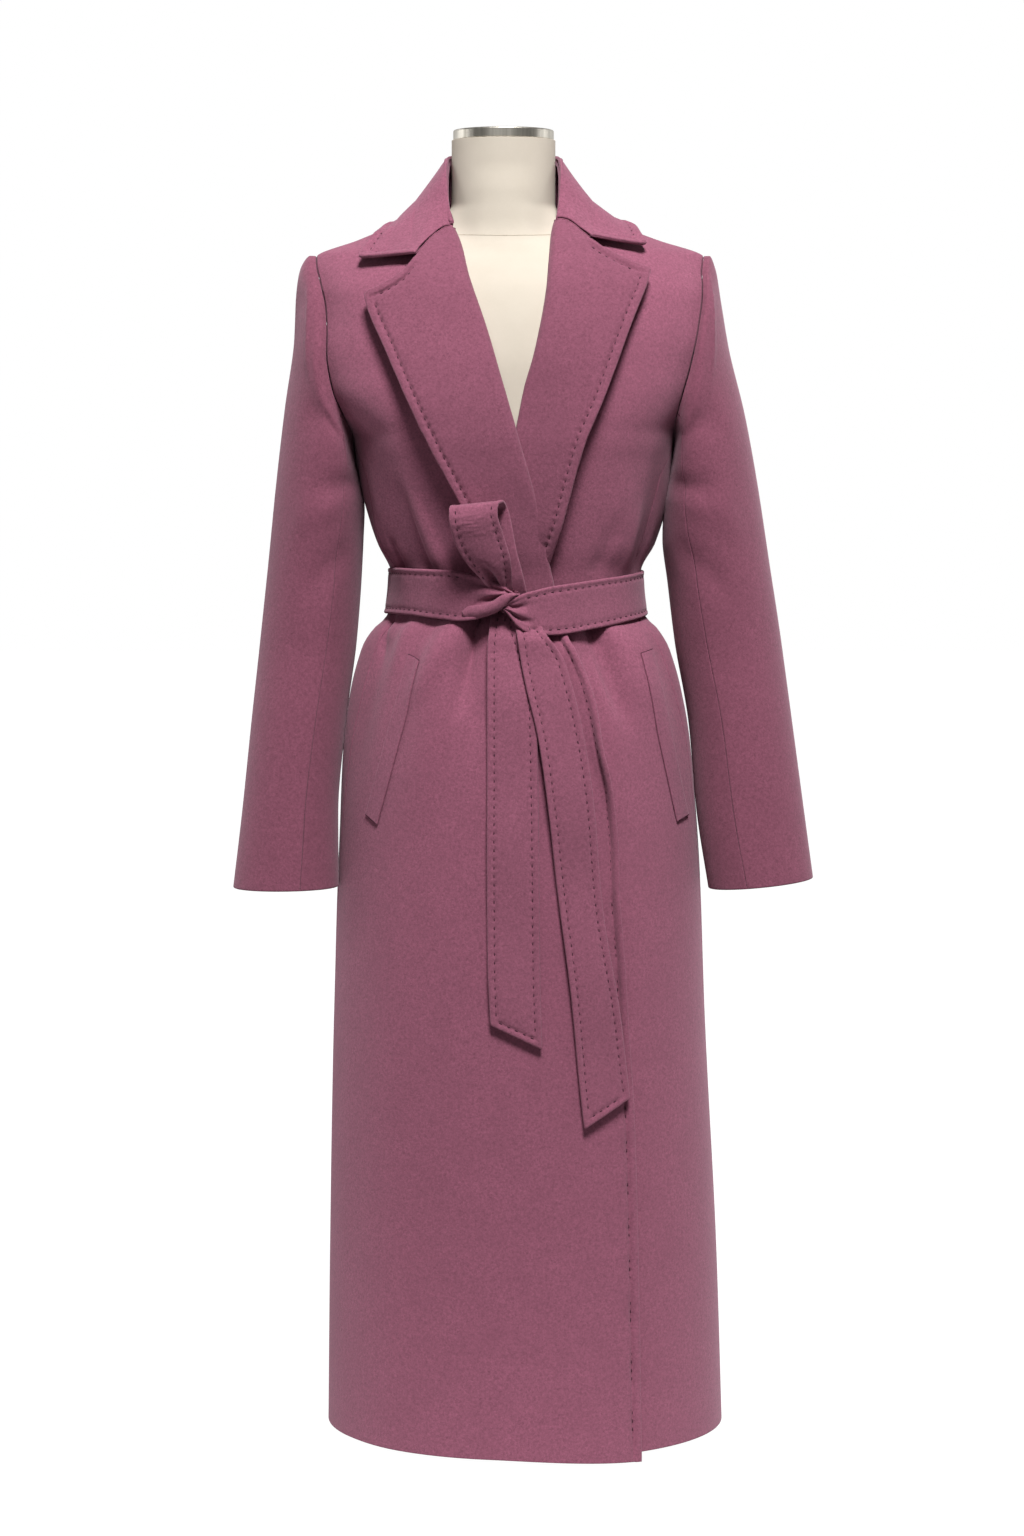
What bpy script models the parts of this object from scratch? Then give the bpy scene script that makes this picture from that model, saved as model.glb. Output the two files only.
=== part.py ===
"""Wool wrap coat with a tied belt, on a limbless dress form with a low stand.

Metres, +Z up. The front faces -Y and the wearer's right is at -X.
The origin is the middle of the underside of the stand's base.
"""

import math

import bmesh
import bpy
import numpy as np

# Cloth and seams
WALL = 0.0020
BELT_WALL = 0.0036
WELT_WALL = 0.0016
SEAM = 0.0003
LIE = 0.0005
LAP_AIR = 0.0010
BELT_AIR = 0.0014

# Heights of the coat
HEM_Z = 0.018
BELT_Z = 0.868
BELT_HALF = 0.0230
ARMPIT_Z = 1.030
TIP_Z = 1.2094
NECK_Z = 1.2560
NAPE_Z = 1.2610
NECK_X = -0.0085

# Dress form and stand
TORSO_FOOT_Z = 0.640
FORM_NECK = 0.0520
FORM_COUNT = 36
CAP_Z = 1.3240
CAP_TOP_Z = 1.3340
ARM_PLATE = 0.1840
POLE_RADIUS = 0.0125
BASE_RADIUS = 0.0960
BASE_EDGE = 0.0050
BASE_TOP = 0.0130
BASE_SOCKET = 0.0300
EDGE_CUT = 0.0015
POLE_COUNT = 24
BASE_COUNT = 48

QUARTER = math.pi / 2
RIGHT = -1
LEFT = 1


def table(columns, rows):
    """A short table as named columns of numbers"""
    return {name: np.array(values, float) for name, values in zip(columns.split(), zip(*rows))}


def smooth(at, known, values):
    """Values on a curve through the known places, which never overshoots between two of them"""
    at = np.clip(np.asarray(at, float), known[0], known[-1])
    step = np.diff(known)
    slope = np.diff(values) / step
    product = slope[:-1] * slope[1:]
    total = slope[:-1] + slope[1:]
    middle = np.where(product > 0, 2 * product / np.where(total == 0, 1, total), 0.0)
    tangent = np.concatenate([[slope[0]], middle, [slope[-1]]])
    row = np.clip(np.searchsorted(known, at, side="right") - 1, 0, len(step) - 1)
    u = (at - known[row]) / step[row]
    start = values[row] + u * u * (3 - 2 * u) * (values[row + 1] - values[row])
    bend = u * (1 - u) * ((1 - u) * tangent[row] - u * tangent[row + 1]) * step[row]
    return start + bend


def read(rows, column, at, by="z"):
    """One column of a table at the given places"""
    return smooth(at, rows[by], rows[column])


def step_up(value, low, high):
    """0 below low, 1 above high, soft between"""
    u = np.clip((np.asarray(value, float) - low) / (high - low), 0, 1)
    return u * u * (3 - 2 * u)


def lerp(a, b, t):
    return a + (b - a) * t


# Level sections of the coat. half is the half width; front and back are depths from y = 0;
# x is the middle; square 2 is an ellipse, less is nearer a diamond.
# Between armpit and shoulder tip the section runs on past the armhole.
BODY = table("z half front back x square", [
    (0.018, 0.2035, 0.1600, 0.1620, 0.0135, 2.00),
    (0.200, 0.1990, 0.1540, 0.1580, 0.0115, 2.00),
    (0.450, 0.1895, 0.1450, 0.1510, 0.0075, 2.05),
    (0.600, 0.1840, 0.1390, 0.1470, 0.0070, 2.05),
    (0.700, 0.1750, 0.1320, 0.1400, 0.0060, 2.10),
    (0.775, 0.1630, 0.1230, 0.1290, 0.0050, 2.10),
    (0.820, 0.1500, 0.1090, 0.1130, 0.0045, 2.10),
    (0.835, 0.1430, 0.1038, 0.1074, 0.0042, 2.10),
    (0.8465, 0.1322, 0.0996, 0.1026, 0.0040, 2.10),
    (0.868, 0.1260, 0.0970, 0.1000, 0.0040, 2.10),
    (0.891, 0.1265, 0.0985, 0.1000, 0.0040, 2.10),
    (0.920, 0.1380, 0.1045, 0.1020, 0.0035, 2.10),
    (0.960, 0.1495, 0.1120, 0.1065, 0.0030, 2.15),
    (1.000, 0.1560, 0.1180, 0.1110, 0.0020, 2.30),
    (1.030, 0.1600, 0.1200, 0.1140, 0.0015, 2.50),
    (1.045, 0.1700, 0.1195, 0.1150, 0.0010, 2.50),
    (1.070, 0.1860, 0.1180, 0.1165, 0.0005, 2.40),
    (1.094, 0.1980, 0.1165, 0.1170, 0.0000, 2.20),
    (1.134, 0.2115, 0.1090, 0.1140, -0.0005, 2.05),
    (1.170, 0.2105, 0.0970, 0.1060, -0.0010, 1.95),
    (1.190, 0.2045, 0.0865, 0.0970, -0.0015, 1.80),
    (1.2094, 0.1945, 0.0740, 0.0860, -0.0020, 1.55),
    (1.2250, 0.1515, 0.0640, 0.0760, -0.0040, 1.45),
    (1.2400, 0.1130, 0.0560, 0.0680, -0.0065, 1.45),
    (1.2560, 0.0740, 0.0515, 0.0600, -0.0085, 1.50),
    (1.2750, 0.0600, 0.0500, 0.0560, -0.0085, 1.60),
])

# Folds that run from the belt: angle round from the middle of the front in degrees, how far
# the fold leans by its end, its width in degrees, its height (a trough is below 0), its length.
FOLD_COLUMNS = "angle lean width height reach"
FOLD_START = 0.030
FOLD_HOLD = 0.35
SKIRT_FOLDS = table(FOLD_COLUMNS, [
    (-13, -1, 4.5, -0.0058, 0.15),
    (-25, -12, 8.0, 0.0055, 0.24),
    (-60, -8, 8.0, -0.0040, 0.20),
    (-86, -3, 9.0, 0.0055, 0.24),
    (-112, 4, 8.0, -0.0040, 0.22),
    (-138, 6, 9.0, 0.0055, 0.26),
    (-163, 4, 8.0, -0.0045, 0.24),
    (178, 0, 9.0, 0.0050, 0.28),
    (155, -4, 8.0, -0.0040, 0.22),
    (130, -6, 9.0, 0.0055, 0.26),
    (104, -4, 8.0, -0.0040, 0.22),
    (78, 3, 9.0, 0.0050, 0.24),
    (55, 7, 8.0, 0.0035, 0.20),
    (27, -1, 4.5, -0.0065, 0.16),
])
BODICE_FOLDS = table(FOLD_COLUMNS, [
    (-48, 3, 7.0, -0.0040, 0.13),
    (-66, 2, 8.0, 0.0040, 0.14),
    (-100, 0, 9.0, -0.0035, 0.13),
    (-135, 2, 9.0, 0.0040, 0.15),
    (-165, 0, 8.0, -0.0035, 0.14),
    (165, 0, 9.0, 0.0040, 0.15),
    (132, -2, 9.0, -0.0035, 0.13),
    (98, 0, 8.0, 0.0040, 0.14),
    (66, -2, 7.0, -0.0040, 0.14),
    (46, -3, 8.0, 0.0035, 0.12),
])

# The fronts' inner edges by height: the wrap below the belt, the roll line above it
RIGHT_EDGE = table("z x", [
    (0.018, 0.1280), (0.225, 0.1240), (0.367, 0.1195), (0.476, 0.1105), (0.605, 0.0995), (0.674, 0.0905),
    (0.732, 0.0765), (0.790, 0.0640), (0.830, 0.0530), (0.885, 0.0400), (0.956, 0.0260), (1.036, 0.0040),
    (1.090, -0.0115), (1.135, -0.0247), (1.185, -0.0420), (1.238, -0.0595), (1.256, -0.0825),
])
LEFT_EDGE = table("z x", [
    (0.018, -0.1000), (0.450, -0.0900), (0.680, -0.0720), (0.830, -0.0420), (0.885, -0.0300),
    (0.956, -0.0150), (1.036, 0.0040), (1.075, 0.0118), (1.107, 0.0207), (1.160, 0.0316), (1.203, 0.0375),
    (1.238, 0.0440), (1.256, 0.0655),
])
# Side seams by height, in degrees round from the middle of the front
SIDE_SEAM = table("z degrees", [
    (0.018, 88), (0.450, 84), (0.700, 76), (0.800, 70), (0.868, 68), (0.985, 70), (1.030, 90),
])
# Armhole by height: how far out from the middle
ARMHOLE = table("z out", [
    (1.030, 0.1600), (1.045, 0.1640), (1.070, 0.1710), (1.094, 0.1770), (1.134, 0.1865), (1.170, 0.1925),
    (1.2094, 0.1945),
])

# The lap of the fronts: where round the coat it begins, where the left lapel adds a layer to it,
# and where it ends above
LAP_TURN = (math.radians(-62), math.radians(-38))
LAPEL_FOOT = (0.78, 0.85)
LAP_END = (1.05, 1.14)

# Lapels from the belt up: height on the roll line, then the outer edge. The last row is the
# lapel's point; the notch lies between it and the roll line.
LAPEL_COLUMNS = "roll_z edge_x edge_z"
RIGHT_LAPEL = table(LAPEL_COLUMNS, [
    (0.876, -0.0060, 0.878), (0.950, -0.0410, 0.957), (1.036, -0.0795, 1.032), (1.090, -0.0983, 1.069),
    (1.135, -0.1160, 1.107), (1.185, -0.1340, 1.143), (1.238, -0.1447, 1.172),
])
LEFT_LAPEL = table(LAPEL_COLUMNS, [
    (0.876, 0.0300, 0.878), (0.950, 0.0460, 0.945), (1.036, 0.0660, 1.019), (1.090, 0.0860, 1.065),
    (1.135, 0.1020, 1.108), (1.185, 0.1190, 1.152), (1.238, 0.1357, 1.1964),
])
LAPEL_OPEN = {RIGHT: (0.93, 1.10), LEFT: (1.03, 1.14)}
LAPEL_SWELL = {"least": 0.0016, "middle": 0.0044, "edge": 0.0030}
LAPEL_TURN_IN = (0.80, 1.0)
NOTCH = {RIGHT: (-0.0978, 1.2010), LEFT: (0.0829, 1.2215)}

# The top of the collar's roll from the middle of the back (u 0) to its front end (u 1): the turn
# round the neck in degrees, the distance from the neck's middle, and how much roll is left
COLLAR = table("u turn out z roll", [
    (0.00, 0, 0.0625, 1.3135, 1.00),
    (0.20, 36, 0.0610, 1.3130, 1.00),
    (0.40, 68, 0.0580, 1.3105, 1.00),
    (0.55, 90, 0.0570, 1.3050, 1.00),
    (0.70, 107, 0.0600, 1.2920, 0.90),
    (0.85, 121, 0.0650, 1.2660, 0.60),
    (1.00, 131, 0.0690, 1.2435, 0.15),
])
NECK_POINT_U = 0.55
GORGE_Z = 1.2416
# Lines across the collar: share of the way from its seam to its outer edge, and how far a full
# roll moves the line out from the neck and down from where it would lie
COLLAR_LINES = table("share out down", [
    (0.00, 0.0, 0.0), (0.24, -0.0030, 0.0090), (0.34, 0.0, 0.0), (0.42, 0.0050, 0.0060), (0.66, 0.0, 0.0100),
    (0.84, 0.0, 0.0035), (1.00, 0.0, 0.0),
])
COLLAR_FALL = (0.42, 0.55)
COLLAR_TURN_IN = (0.78, 1.0)
NOTCH_LIFT = 0.0075
NOTCH_GAP = 0.0020
# The collar's outer edge on the coat: angle round in degrees and height, by side
COLLAR_EDGE = {
    RIGHT: table("u angle z lift", [
        (0.00, 180, 1.2440, 0.0050), (0.20, 152, 1.2420, 0.0050), (0.40, 122, 1.2370, 0.0055),
        (0.55, 91, 1.2350, 0.0060), (0.70, 69, 1.2295, 0.0060), (0.85, 59, 1.2165, 0.0065),
        (1.00, 52, 1.2015, 0.0070),
    ]),
    LEFT: table("u angle z lift", [
        (0.00, 180, 1.2440, 0.0050), (0.20, 153, 1.2420, 0.0050), (0.40, 126, 1.2380, 0.0055),
        (0.55, 96, 1.2370, 0.0060), (0.70, 72, 1.2300, 0.0060), (0.85, 60, 1.2220, 0.0065),
        (1.00, 51, 1.2140, 0.0070),
    ]),
}

# Sleeves from the armhole to the cuff: inner and outer points of each ring, half its depth,
# its middle, and how much of the armhole's shape is left
SLEEVE_COLUMNS = "inner_x inner_z outer_x outer_z depth y keep"
SLEEVE = {
    RIGHT: table(SLEEVE_COLUMNS, [
        (-0.1585, 1.0300, -0.1965, 1.2094, 0.0610, 0.0000, 1.00),
        (-0.1598, 1.0235, -0.2030, 1.2096, 0.0640, 0.0000, 0.80),
        (-0.1587, 1.0150, -0.2130, 1.1960, 0.0670, 0.0005, 0.55),
        (-0.1566, 1.0020, -0.2175, 1.1680, 0.0680, 0.0010, 0.30),
        (-0.1530, 0.9830, -0.2195, 1.1250, 0.0670, 0.0020, 0.12),
        (-0.1492, 0.9560, -0.2292, 1.0580, 0.0650, 0.0030, 0.00),
        (-0.1505, 0.9250, -0.2388, 0.9800, 0.0620, 0.0040, 0.00),
        (-0.1530, 0.8800, -0.2473, 0.9000, 0.0590, 0.0050, 0.00),
        (-0.1580, 0.8200, -0.2555, 0.8260, 0.0565, 0.0040, 0.00),
        (-0.1685, 0.7400, -0.2647, 0.7400, 0.0530, -0.0060, 0.00),
        (-0.1762, 0.6500, -0.2735, 0.6520, 0.0470, -0.0190, 0.00),
        (-0.1755, 0.5750, -0.2825, 0.5740, 0.0430, -0.0300, 0.00),
    ]),
    LEFT: table(SLEEVE_COLUMNS, [
        (0.1615, 1.0300, 0.1925, 1.2094, 0.0610, 0.0000, 1.00),
        (0.1629, 1.0235, 0.1985, 1.2094, 0.0640, 0.0000, 0.80),
        (0.1620, 1.0150, 0.2050, 1.1950, 0.0670, 0.0005, 0.55),
        (0.1604, 1.0020, 0.2110, 1.1600, 0.0680, 0.0010, 0.30),
        (0.1576, 0.9830, 0.2185, 1.1170, 0.0670, 0.0020, 0.12),
        (0.1534, 0.9560, 0.2352, 1.0500, 0.0650, 0.0030, 0.00),
        (0.1525, 0.9250, 0.2477, 0.9850, 0.0620, 0.0040, 0.00),
        (0.1580, 0.8800, 0.2613, 0.9000, 0.0590, 0.0050, 0.00),
        (0.1655, 0.8200, 0.2730, 0.8260, 0.0565, 0.0040, 0.00),
        (0.1792, 0.7400, 0.2843, 0.7420, 0.0530, -0.0060, 0.00),
        (0.1872, 0.6500, 0.2955, 0.6560, 0.0470, -0.0190, 0.00),
        (0.1990, 0.5730, 0.3050, 0.5840, 0.0430, -0.0300, 0.00),
    ]),
}

# Pocket welts: the four corners as x, z
WELT = {
    RIGHT: ((-0.1000, 0.8120), (-0.0850, 0.8060), (-0.1450, 0.6530), (-0.1320, 0.6440)),
    LEFT: ((0.1240, 0.8135), (0.1370, 0.8165), (0.1640, 0.6450), (0.1760, 0.6500)),
}

# The belt's two tails from the knot down: both edges by height, and what they lie over
TAIL_COLUMNS = "z left right over"
TAIL = {
    LEFT: table(TAIL_COLUMNS, [
        (-0.836, -0.0210, 0.0060, 0.0052), (-0.815, -0.0232, 0.0120, 0.0020),
        (-0.760, -0.0235, 0.0235, 0.0006), (-0.600, -0.0236, 0.0262, 0.0006),
        (-0.510, -0.0230, 0.0270, 0.0006), (-0.440, -0.0205, 0.0290, 0.0008),
    ]),
    RIGHT: table(TAIL_COLUMNS, [
        (-0.837, 0.0030, 0.0290, 0.0110), (-0.800, 0.0090, 0.0560, 0.0062), (-0.730, 0.0250, 0.0740, 0.0056),
        (-0.660, 0.0345, 0.0840, 0.0030), (-0.590, 0.0425, 0.0905, 0.0008), (-0.480, 0.0560, 0.1020, 0.0006),
        (-0.362, 0.0690, 0.1125, 0.0010),
    ]),
}
# How far the cut end of each tail slants, and the share of its length over which that grows
TAIL_SLANT = {LEFT: -0.0240, RIGHT: 0.0280}
SLANT_SHARE = (0.75, 1.0)

# The half bow: middle line and half width from the knot up, over and back down
LOOP = table("s x y z half lean", [
    (0.00, -0.0020, -0.1185, 0.8862, 0.0130, 0.0000),
    (0.20, -0.0060, -0.1225, 0.9100, 0.0180, 0.0000),
    (0.45, -0.0240, -0.1260, 0.9540, 0.0225, 0.0040),
    (0.52, -0.0310, -0.1330, 0.9620, 0.0232, 0.0050),
    (0.60, -0.0350, -0.1410, 0.9560, 0.0235, 0.0050),
    (0.80, -0.0300, -0.1450, 0.9180, 0.0215, 0.0020),
    (1.00, -0.0140, -0.1330, 0.8842, 0.0140, 0.0000),
])
LOOP_WALL = 0.0030
# The belt's ends in degrees round from the middle of the front, its rise, and what it bridges in
# front of the coat between the two angles
BELT_ENDS = (-3, 352)
BELT_COLUMNS = 43
BELT_RISE = 0.0030
FRONT_PAD = 0.0095
FRONT_PAD_TURN = (math.radians(28), math.radians(70))
# Towards the knot the belt narrows to this half width and drops, on its left and right end
PINCH_TURN = (0.05, 0.62)
PINCH_HALF = 0.0150
PINCH_DROP = {LEFT: 0.0110, RIGHT: 0.0060}
# The knot: one turn of the belt over the crossing, leaning from upright
KNOT_MIDDLE = (-0.0090, -0.1125, 0.8640)
KNOT_TURN = math.radians(24)
KNOT_HEIGHT = 0.0195
KNOT_DEPTH = 0.0150
KNOT_ROUND = 0.7
KNOT_HALF = (0.0105, 0.0145)

# Air between the coat's inner face and the dress form
FORM_AIR = table("z air", [
    (0.640, 0.0200), (0.720, 0.0130), (0.800, 0.0065), (0.868, 0.0050), (0.960, 0.0050), (1.030, 0.0040),
    (1.110, 0.0022), (1.170, 0.0016), (1.215, 0.0018), (1.234, 0.0058),
])
# Rings of the form's torso, with how far each is drawn in at the foot, and of its neck
TORSO = table("z shrink", [
    (TORSO_FOOT_Z, 0.045), (0.646, 0.022), (0.665, 0.006), (0.700, 0), (0.740, 0), (0.780, 0), (0.820, 0),
    (0.8465, 0), (0.868, 0), (0.891, 0), (0.910, 0), (0.950, 0), (0.990, 0), (1.030, 0), (1.070, 0),
    (1.110, 0), (1.150, 0), (1.180, 0), (1.195, 0), (1.2094, 0), (1.217, 0), (1.225, 0), (1.234, 0),
])
FORM_STALK = table("z radius", [
    (1.251, 0.0530), (1.262, 0.0523), (1.285, FORM_NECK), (CAP_Z - SEAM, FORM_NECK),
])
PLATE_POWER = 10


def fold_height(angle, z):
    """How far the folds above and below the belt move the cloth out"""
    total = np.zeros(np.broadcast(angle, z).shape)
    for folds, away in ((SKIRT_FOLDS, BELT_Z - BELT_HALF - z), (BODICE_FOLDS, z - BELT_Z - BELT_HALF)):
        for row in range(len(folds["angle"])):
            run = np.clip(away / folds["reach"][row], 0, 1)
            middle = np.radians(folds["angle"][row] + folds["lean"][row] * run)
            off = np.angle(np.exp(1j * (angle - middle))) / np.radians(folds["width"][row])
            fade = step_up(away, 0.0, FOLD_START) * (1 - step_up(run, FOLD_HOLD, 1.0))
            total = total + folds["height"][row] * np.exp(-off * off) * fade
    return total


def body(angle, z, folds=True):
    """Outer face of the coat: angle 0 is the middle of the front, a quarter turn on is +X"""
    angle, z = np.broadcast_arrays(np.asarray(angle, float), np.asarray(z, float))
    half, front, back, x, square = (read(BODY, name, z) for name in ("half", "front", "back", "x", "square"))
    across, forward = np.sin(angle), np.cos(angle)
    power = 2 / square
    depth = np.where(forward > 0, front, back)
    points = np.stack([
        x + half * np.sign(across) * np.abs(across) ** power,
        -depth * np.sign(forward) * np.abs(forward) ** power,
        z,
    ], -1)
    if folds:
        way = np.stack([across / half, -forward / depth, np.zeros_like(z)], -1)
        way = way / np.linalg.norm(way, axis=-1, keepdims=True)
        points = points + way * fold_height(angle, z)[..., None]
    return points


def plain_body(angle, z):
    return body(angle, z, folds=False)


def outward(surface, a, b, a_step=0.02, b_step=0.0015):
    """Unit normals of a surface that runs left to right with a and upward with b"""
    along = surface(a + a_step, b) - surface(a - a_step, b)
    up = surface(a, b + b_step) - surface(a, b - b_step)
    normal = np.cross(along, up)
    return normal / np.linalg.norm(normal, axis=-1, keepdims=True)


def angle_at(x, z, back=False):
    """Angle round the coat of a place seen from the front"""
    ratio = (x - read(BODY, "x", z)) / read(BODY, "half", z)
    across = np.sign(ratio) * np.clip(np.abs(ratio), 0, 1) ** (read(BODY, "square", z) / 2)
    angle = np.arcsin(across)
    return math.pi - angle if back else angle


def wrap_lift(angle, z):
    """How far the right front is lifted by what it lies over: the left front, and its lapel above"""
    lap = step_up(angle, *LAP_TURN)
    layer = WALL + LAP_AIR
    return lap * layer * (1 + step_up(z, *LAPEL_FOOT)) * (1 - step_up(z, *LAP_END))


def moved(surface, angle, z, lift):
    """Points of a surface moved out along its normals, with the normals"""
    normal = outward(surface, angle, z)
    return surface(angle, z) + normal * np.asarray(lift)[..., None], normal


def coons(bottom, top, inner, outer, s, t):
    """Patch between four sides, each an array of x, z pairs"""
    s = s[None, :, None]
    t = t[:, None, None]
    ruled = (1 - t) * bottom[None] + t * top[None] + (1 - s) * inner[:, None] + s * outer[:, None]
    low = (1 - s) * bottom[0] + s * bottom[-1]
    high = (1 - s) * top[0] + s * top[-1]
    return ruled - lerp(low, high, t)


LOW_ROWS = np.array([HEM_Z, 0.18, 0.36, 0.52, 0.63, 0.70, 0.75, 0.785, 0.812, 0.833, 0.8465, 0.857, 0.870,
                     0.8945, 0.918, 0.950, 0.985, 1.010, ARMPIT_Z])
HIGH_ROWS = 10
ROW_EASE = 1.7
FRONT_COLUMNS = 16
BACK_COLUMNS = 27
# The shoulder seam lies this far, in radians, from the very side
RIDGE = 0.012
# The right front's hem drops towards its corner, between these angles
HEM_DROP = 0.009
HEM_DROP_TURN = (-0.2, 0.7)
# Share of the back's top edge that each shoulder takes
SHOULDER_SHARE = 0.30


def armhole_side(side, t, gap):
    """The armhole from armpit to shoulder tip as x, z"""
    z = lerp(ARMPIT_Z, TIP_Z, t)
    return np.stack([read(BODY, "x", z) + side * (read(ARMHOLE, "out", z) - gap), z], -1)


def side_seam(z):
    return np.radians(read(SIDE_SEAM, "degrees", z))


def front_grid(side):
    """Angles and heights over one front, from its inner edge to the side seam and armhole"""
    edge = RIGHT_EDGE if side == RIGHT else LEFT_EDGE
    s = np.linspace(0, 1, FRONT_COLUMNS)
    z_low = np.repeat(LOW_ROWS[:, None], FRONT_COLUMNS, 1)
    inner = angle_at(read(edge, "x", LOW_ROWS), LOW_ROWS)
    outer = side * (side_seam(LOW_ROWS) - SEAM / 2 / read(BODY, "front", LOW_ROWS))
    angle_low = lerp(inner[:, None], outer[:, None], s[None])
    if side == RIGHT:
        z_low[0] -= HEM_DROP * step_up(angle_low[0], *HEM_DROP_TURN)
    t = 1 - (1 - np.linspace(0, 1, HIGH_ROWS)) ** ROW_EASE
    rise = lerp(ARMPIT_Z, NECK_Z, t)
    inner_side = np.stack([read(edge, "x", rise), rise], -1)
    outer_side = armhole_side(side, t, SEAM)
    bottom = np.stack([plain_body(angle_low[-1], ARMPIT_Z)[:, 0], np.full(FRONT_COLUMNS, ARMPIT_Z)], -1)
    fall = lerp(NECK_Z, TIP_Z, s)
    top = np.stack([read(BODY, "x", fall) + side * read(BODY, "half", fall), fall], -1)
    patch = coons(bottom, top, inner_side, outer_side, s, t)[1:]
    angle_high = angle_at(patch[..., 0], patch[..., 1])
    angle_high[-1] = side * (QUARTER - RIDGE)
    return np.concatenate([angle_low, angle_high]), np.concatenate([z_low, patch[..., 1]])


def back_grid():
    """Angles and heights over the back, from the left side seam to the right one"""
    s = np.linspace(0, 1, BACK_COLUMNS)
    z_low = np.repeat(LOW_ROWS[:, None], BACK_COLUMNS, 1)
    start = side_seam(LOW_ROWS) + SEAM / 2 / read(BODY, "front", LOW_ROWS)
    angle_low = lerp(start[:, None], 2 * math.pi - start[:, None], s[None])
    t = 1 - (1 - np.linspace(0, 1, HIGH_ROWS)) ** ROW_EASE
    bottom = np.stack([plain_body(angle_low[-1], ARMPIT_Z)[:, 0], np.full(BACK_COLUMNS, ARMPIT_Z)], -1)
    left_side, right_side = armhole_side(LEFT, t, SEAM), armhole_side(RIGHT, t, SEAM)
    share = SHOULDER_SHARE
    from_side = np.minimum(s, 1 - s)
    across = np.clip((s - share) / (1 - 2 * share), 0, 1)
    fall = lerp(TIP_Z, NECK_Z, np.clip(from_side / share, 0, 1))
    neck = np.cos(math.pi * across)
    width = np.where(from_side < share, np.sign(0.5 - s), neck)
    top_z = fall + (NAPE_Z - NECK_Z) * (1 - neck * neck)
    top = np.stack([read(BODY, "x", fall) + width * read(BODY, "half", fall), top_z], -1)
    patch = coons(bottom, top, left_side, right_side, s, t)[1:]
    angle_high = angle_at(patch[..., 0], patch[..., 1], back=True)
    on_shoulder = from_side <= share + 1e-6
    angle_high[-1][on_shoulder] = np.where(s < 0.5, QUARTER + RIDGE, 3 * QUARTER - RIDGE)[on_shoulder]
    return np.concatenate([angle_low, angle_high]), np.concatenate([z_low, patch[..., 1]])


def lapel_grid(side, rows=17, columns=9):
    """Angles, heights and lifts over one lapel, from its roll line to its outer edge"""
    lapel, edge = (RIGHT_LAPEL, RIGHT_EDGE) if side == RIGHT else (LEFT_LAPEL, LEFT_EDGE)
    s = np.linspace(0, 1, columns)
    t = np.linspace(0, 1, rows)
    roll_z = lerp(lapel["roll_z"][0], lapel["roll_z"][-1], t)
    roll = np.stack([read(edge, "x", roll_z), roll_z], -1)
    rim = np.stack([read(lapel, "edge_x", roll_z, "roll_z"), read(lapel, "edge_z", roll_z, "roll_z")], -1)
    place = lerp(roll[:, None], rim[:, None], s[None, :, None])
    notch = np.array(NOTCH[side])
    bent = np.stack([np.interp(s, [0, 0.5, 1], [roll[-1, i], notch[i], rim[-1, i]]) for i in (0, 1)], -1)
    pull = step_up(t, *LAPEL_TURN_IN)[:, None, None]
    place = place + pull * (bent - place[-1])[None]
    angle = angle_at(place[..., 0], place[..., 1])
    open_share = step_up(place[..., 1], *LAPEL_OPEN[side])
    arch = np.sqrt(np.clip(np.sin(math.pi * s), 0, 1))
    swell = LAPEL_SWELL["least"] + LAPEL_SWELL["middle"] * arch + LAPEL_SWELL["edge"] * s * s
    lift = WALL + LIE + swell[None] * open_share
    if side == RIGHT:
        lift = lift + wrap_lift(angle, place[..., 1])
    return angle, place[..., 1], lift


def neckline(side, far):
    """Inner edge of the coat's neck, on which the collar stands, from the back (0) to the gorge (1)"""
    reach = np.sin(QUARTER * np.clip(far / NECK_POINT_U, 0, 1))
    back_x = read(BODY, "x", NECK_Z) + side * reach * read(BODY, "half", NECK_Z)
    back_z = lerp(NAPE_Z, NECK_Z, reach * reach)
    front_z = lerp(NECK_Z, GORGE_Z, np.clip((far - NECK_POINT_U) / (1 - NECK_POINT_U), 0, 1))
    front_x = np.where(side == RIGHT, read(RIGHT_EDGE, "x", front_z), read(LEFT_EDGE, "x", front_z))
    at_back = far < NECK_POINT_U
    angle = np.where(at_back, angle_at(back_x, back_z, back=True), angle_at(front_x, front_z))
    z = np.where(at_back, back_z, front_z)
    points, _ = moved(plain_body, angle, z, np.full(z.shape, -WALL))
    points[..., 2] = z + 2 * SEAM
    return points


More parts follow.
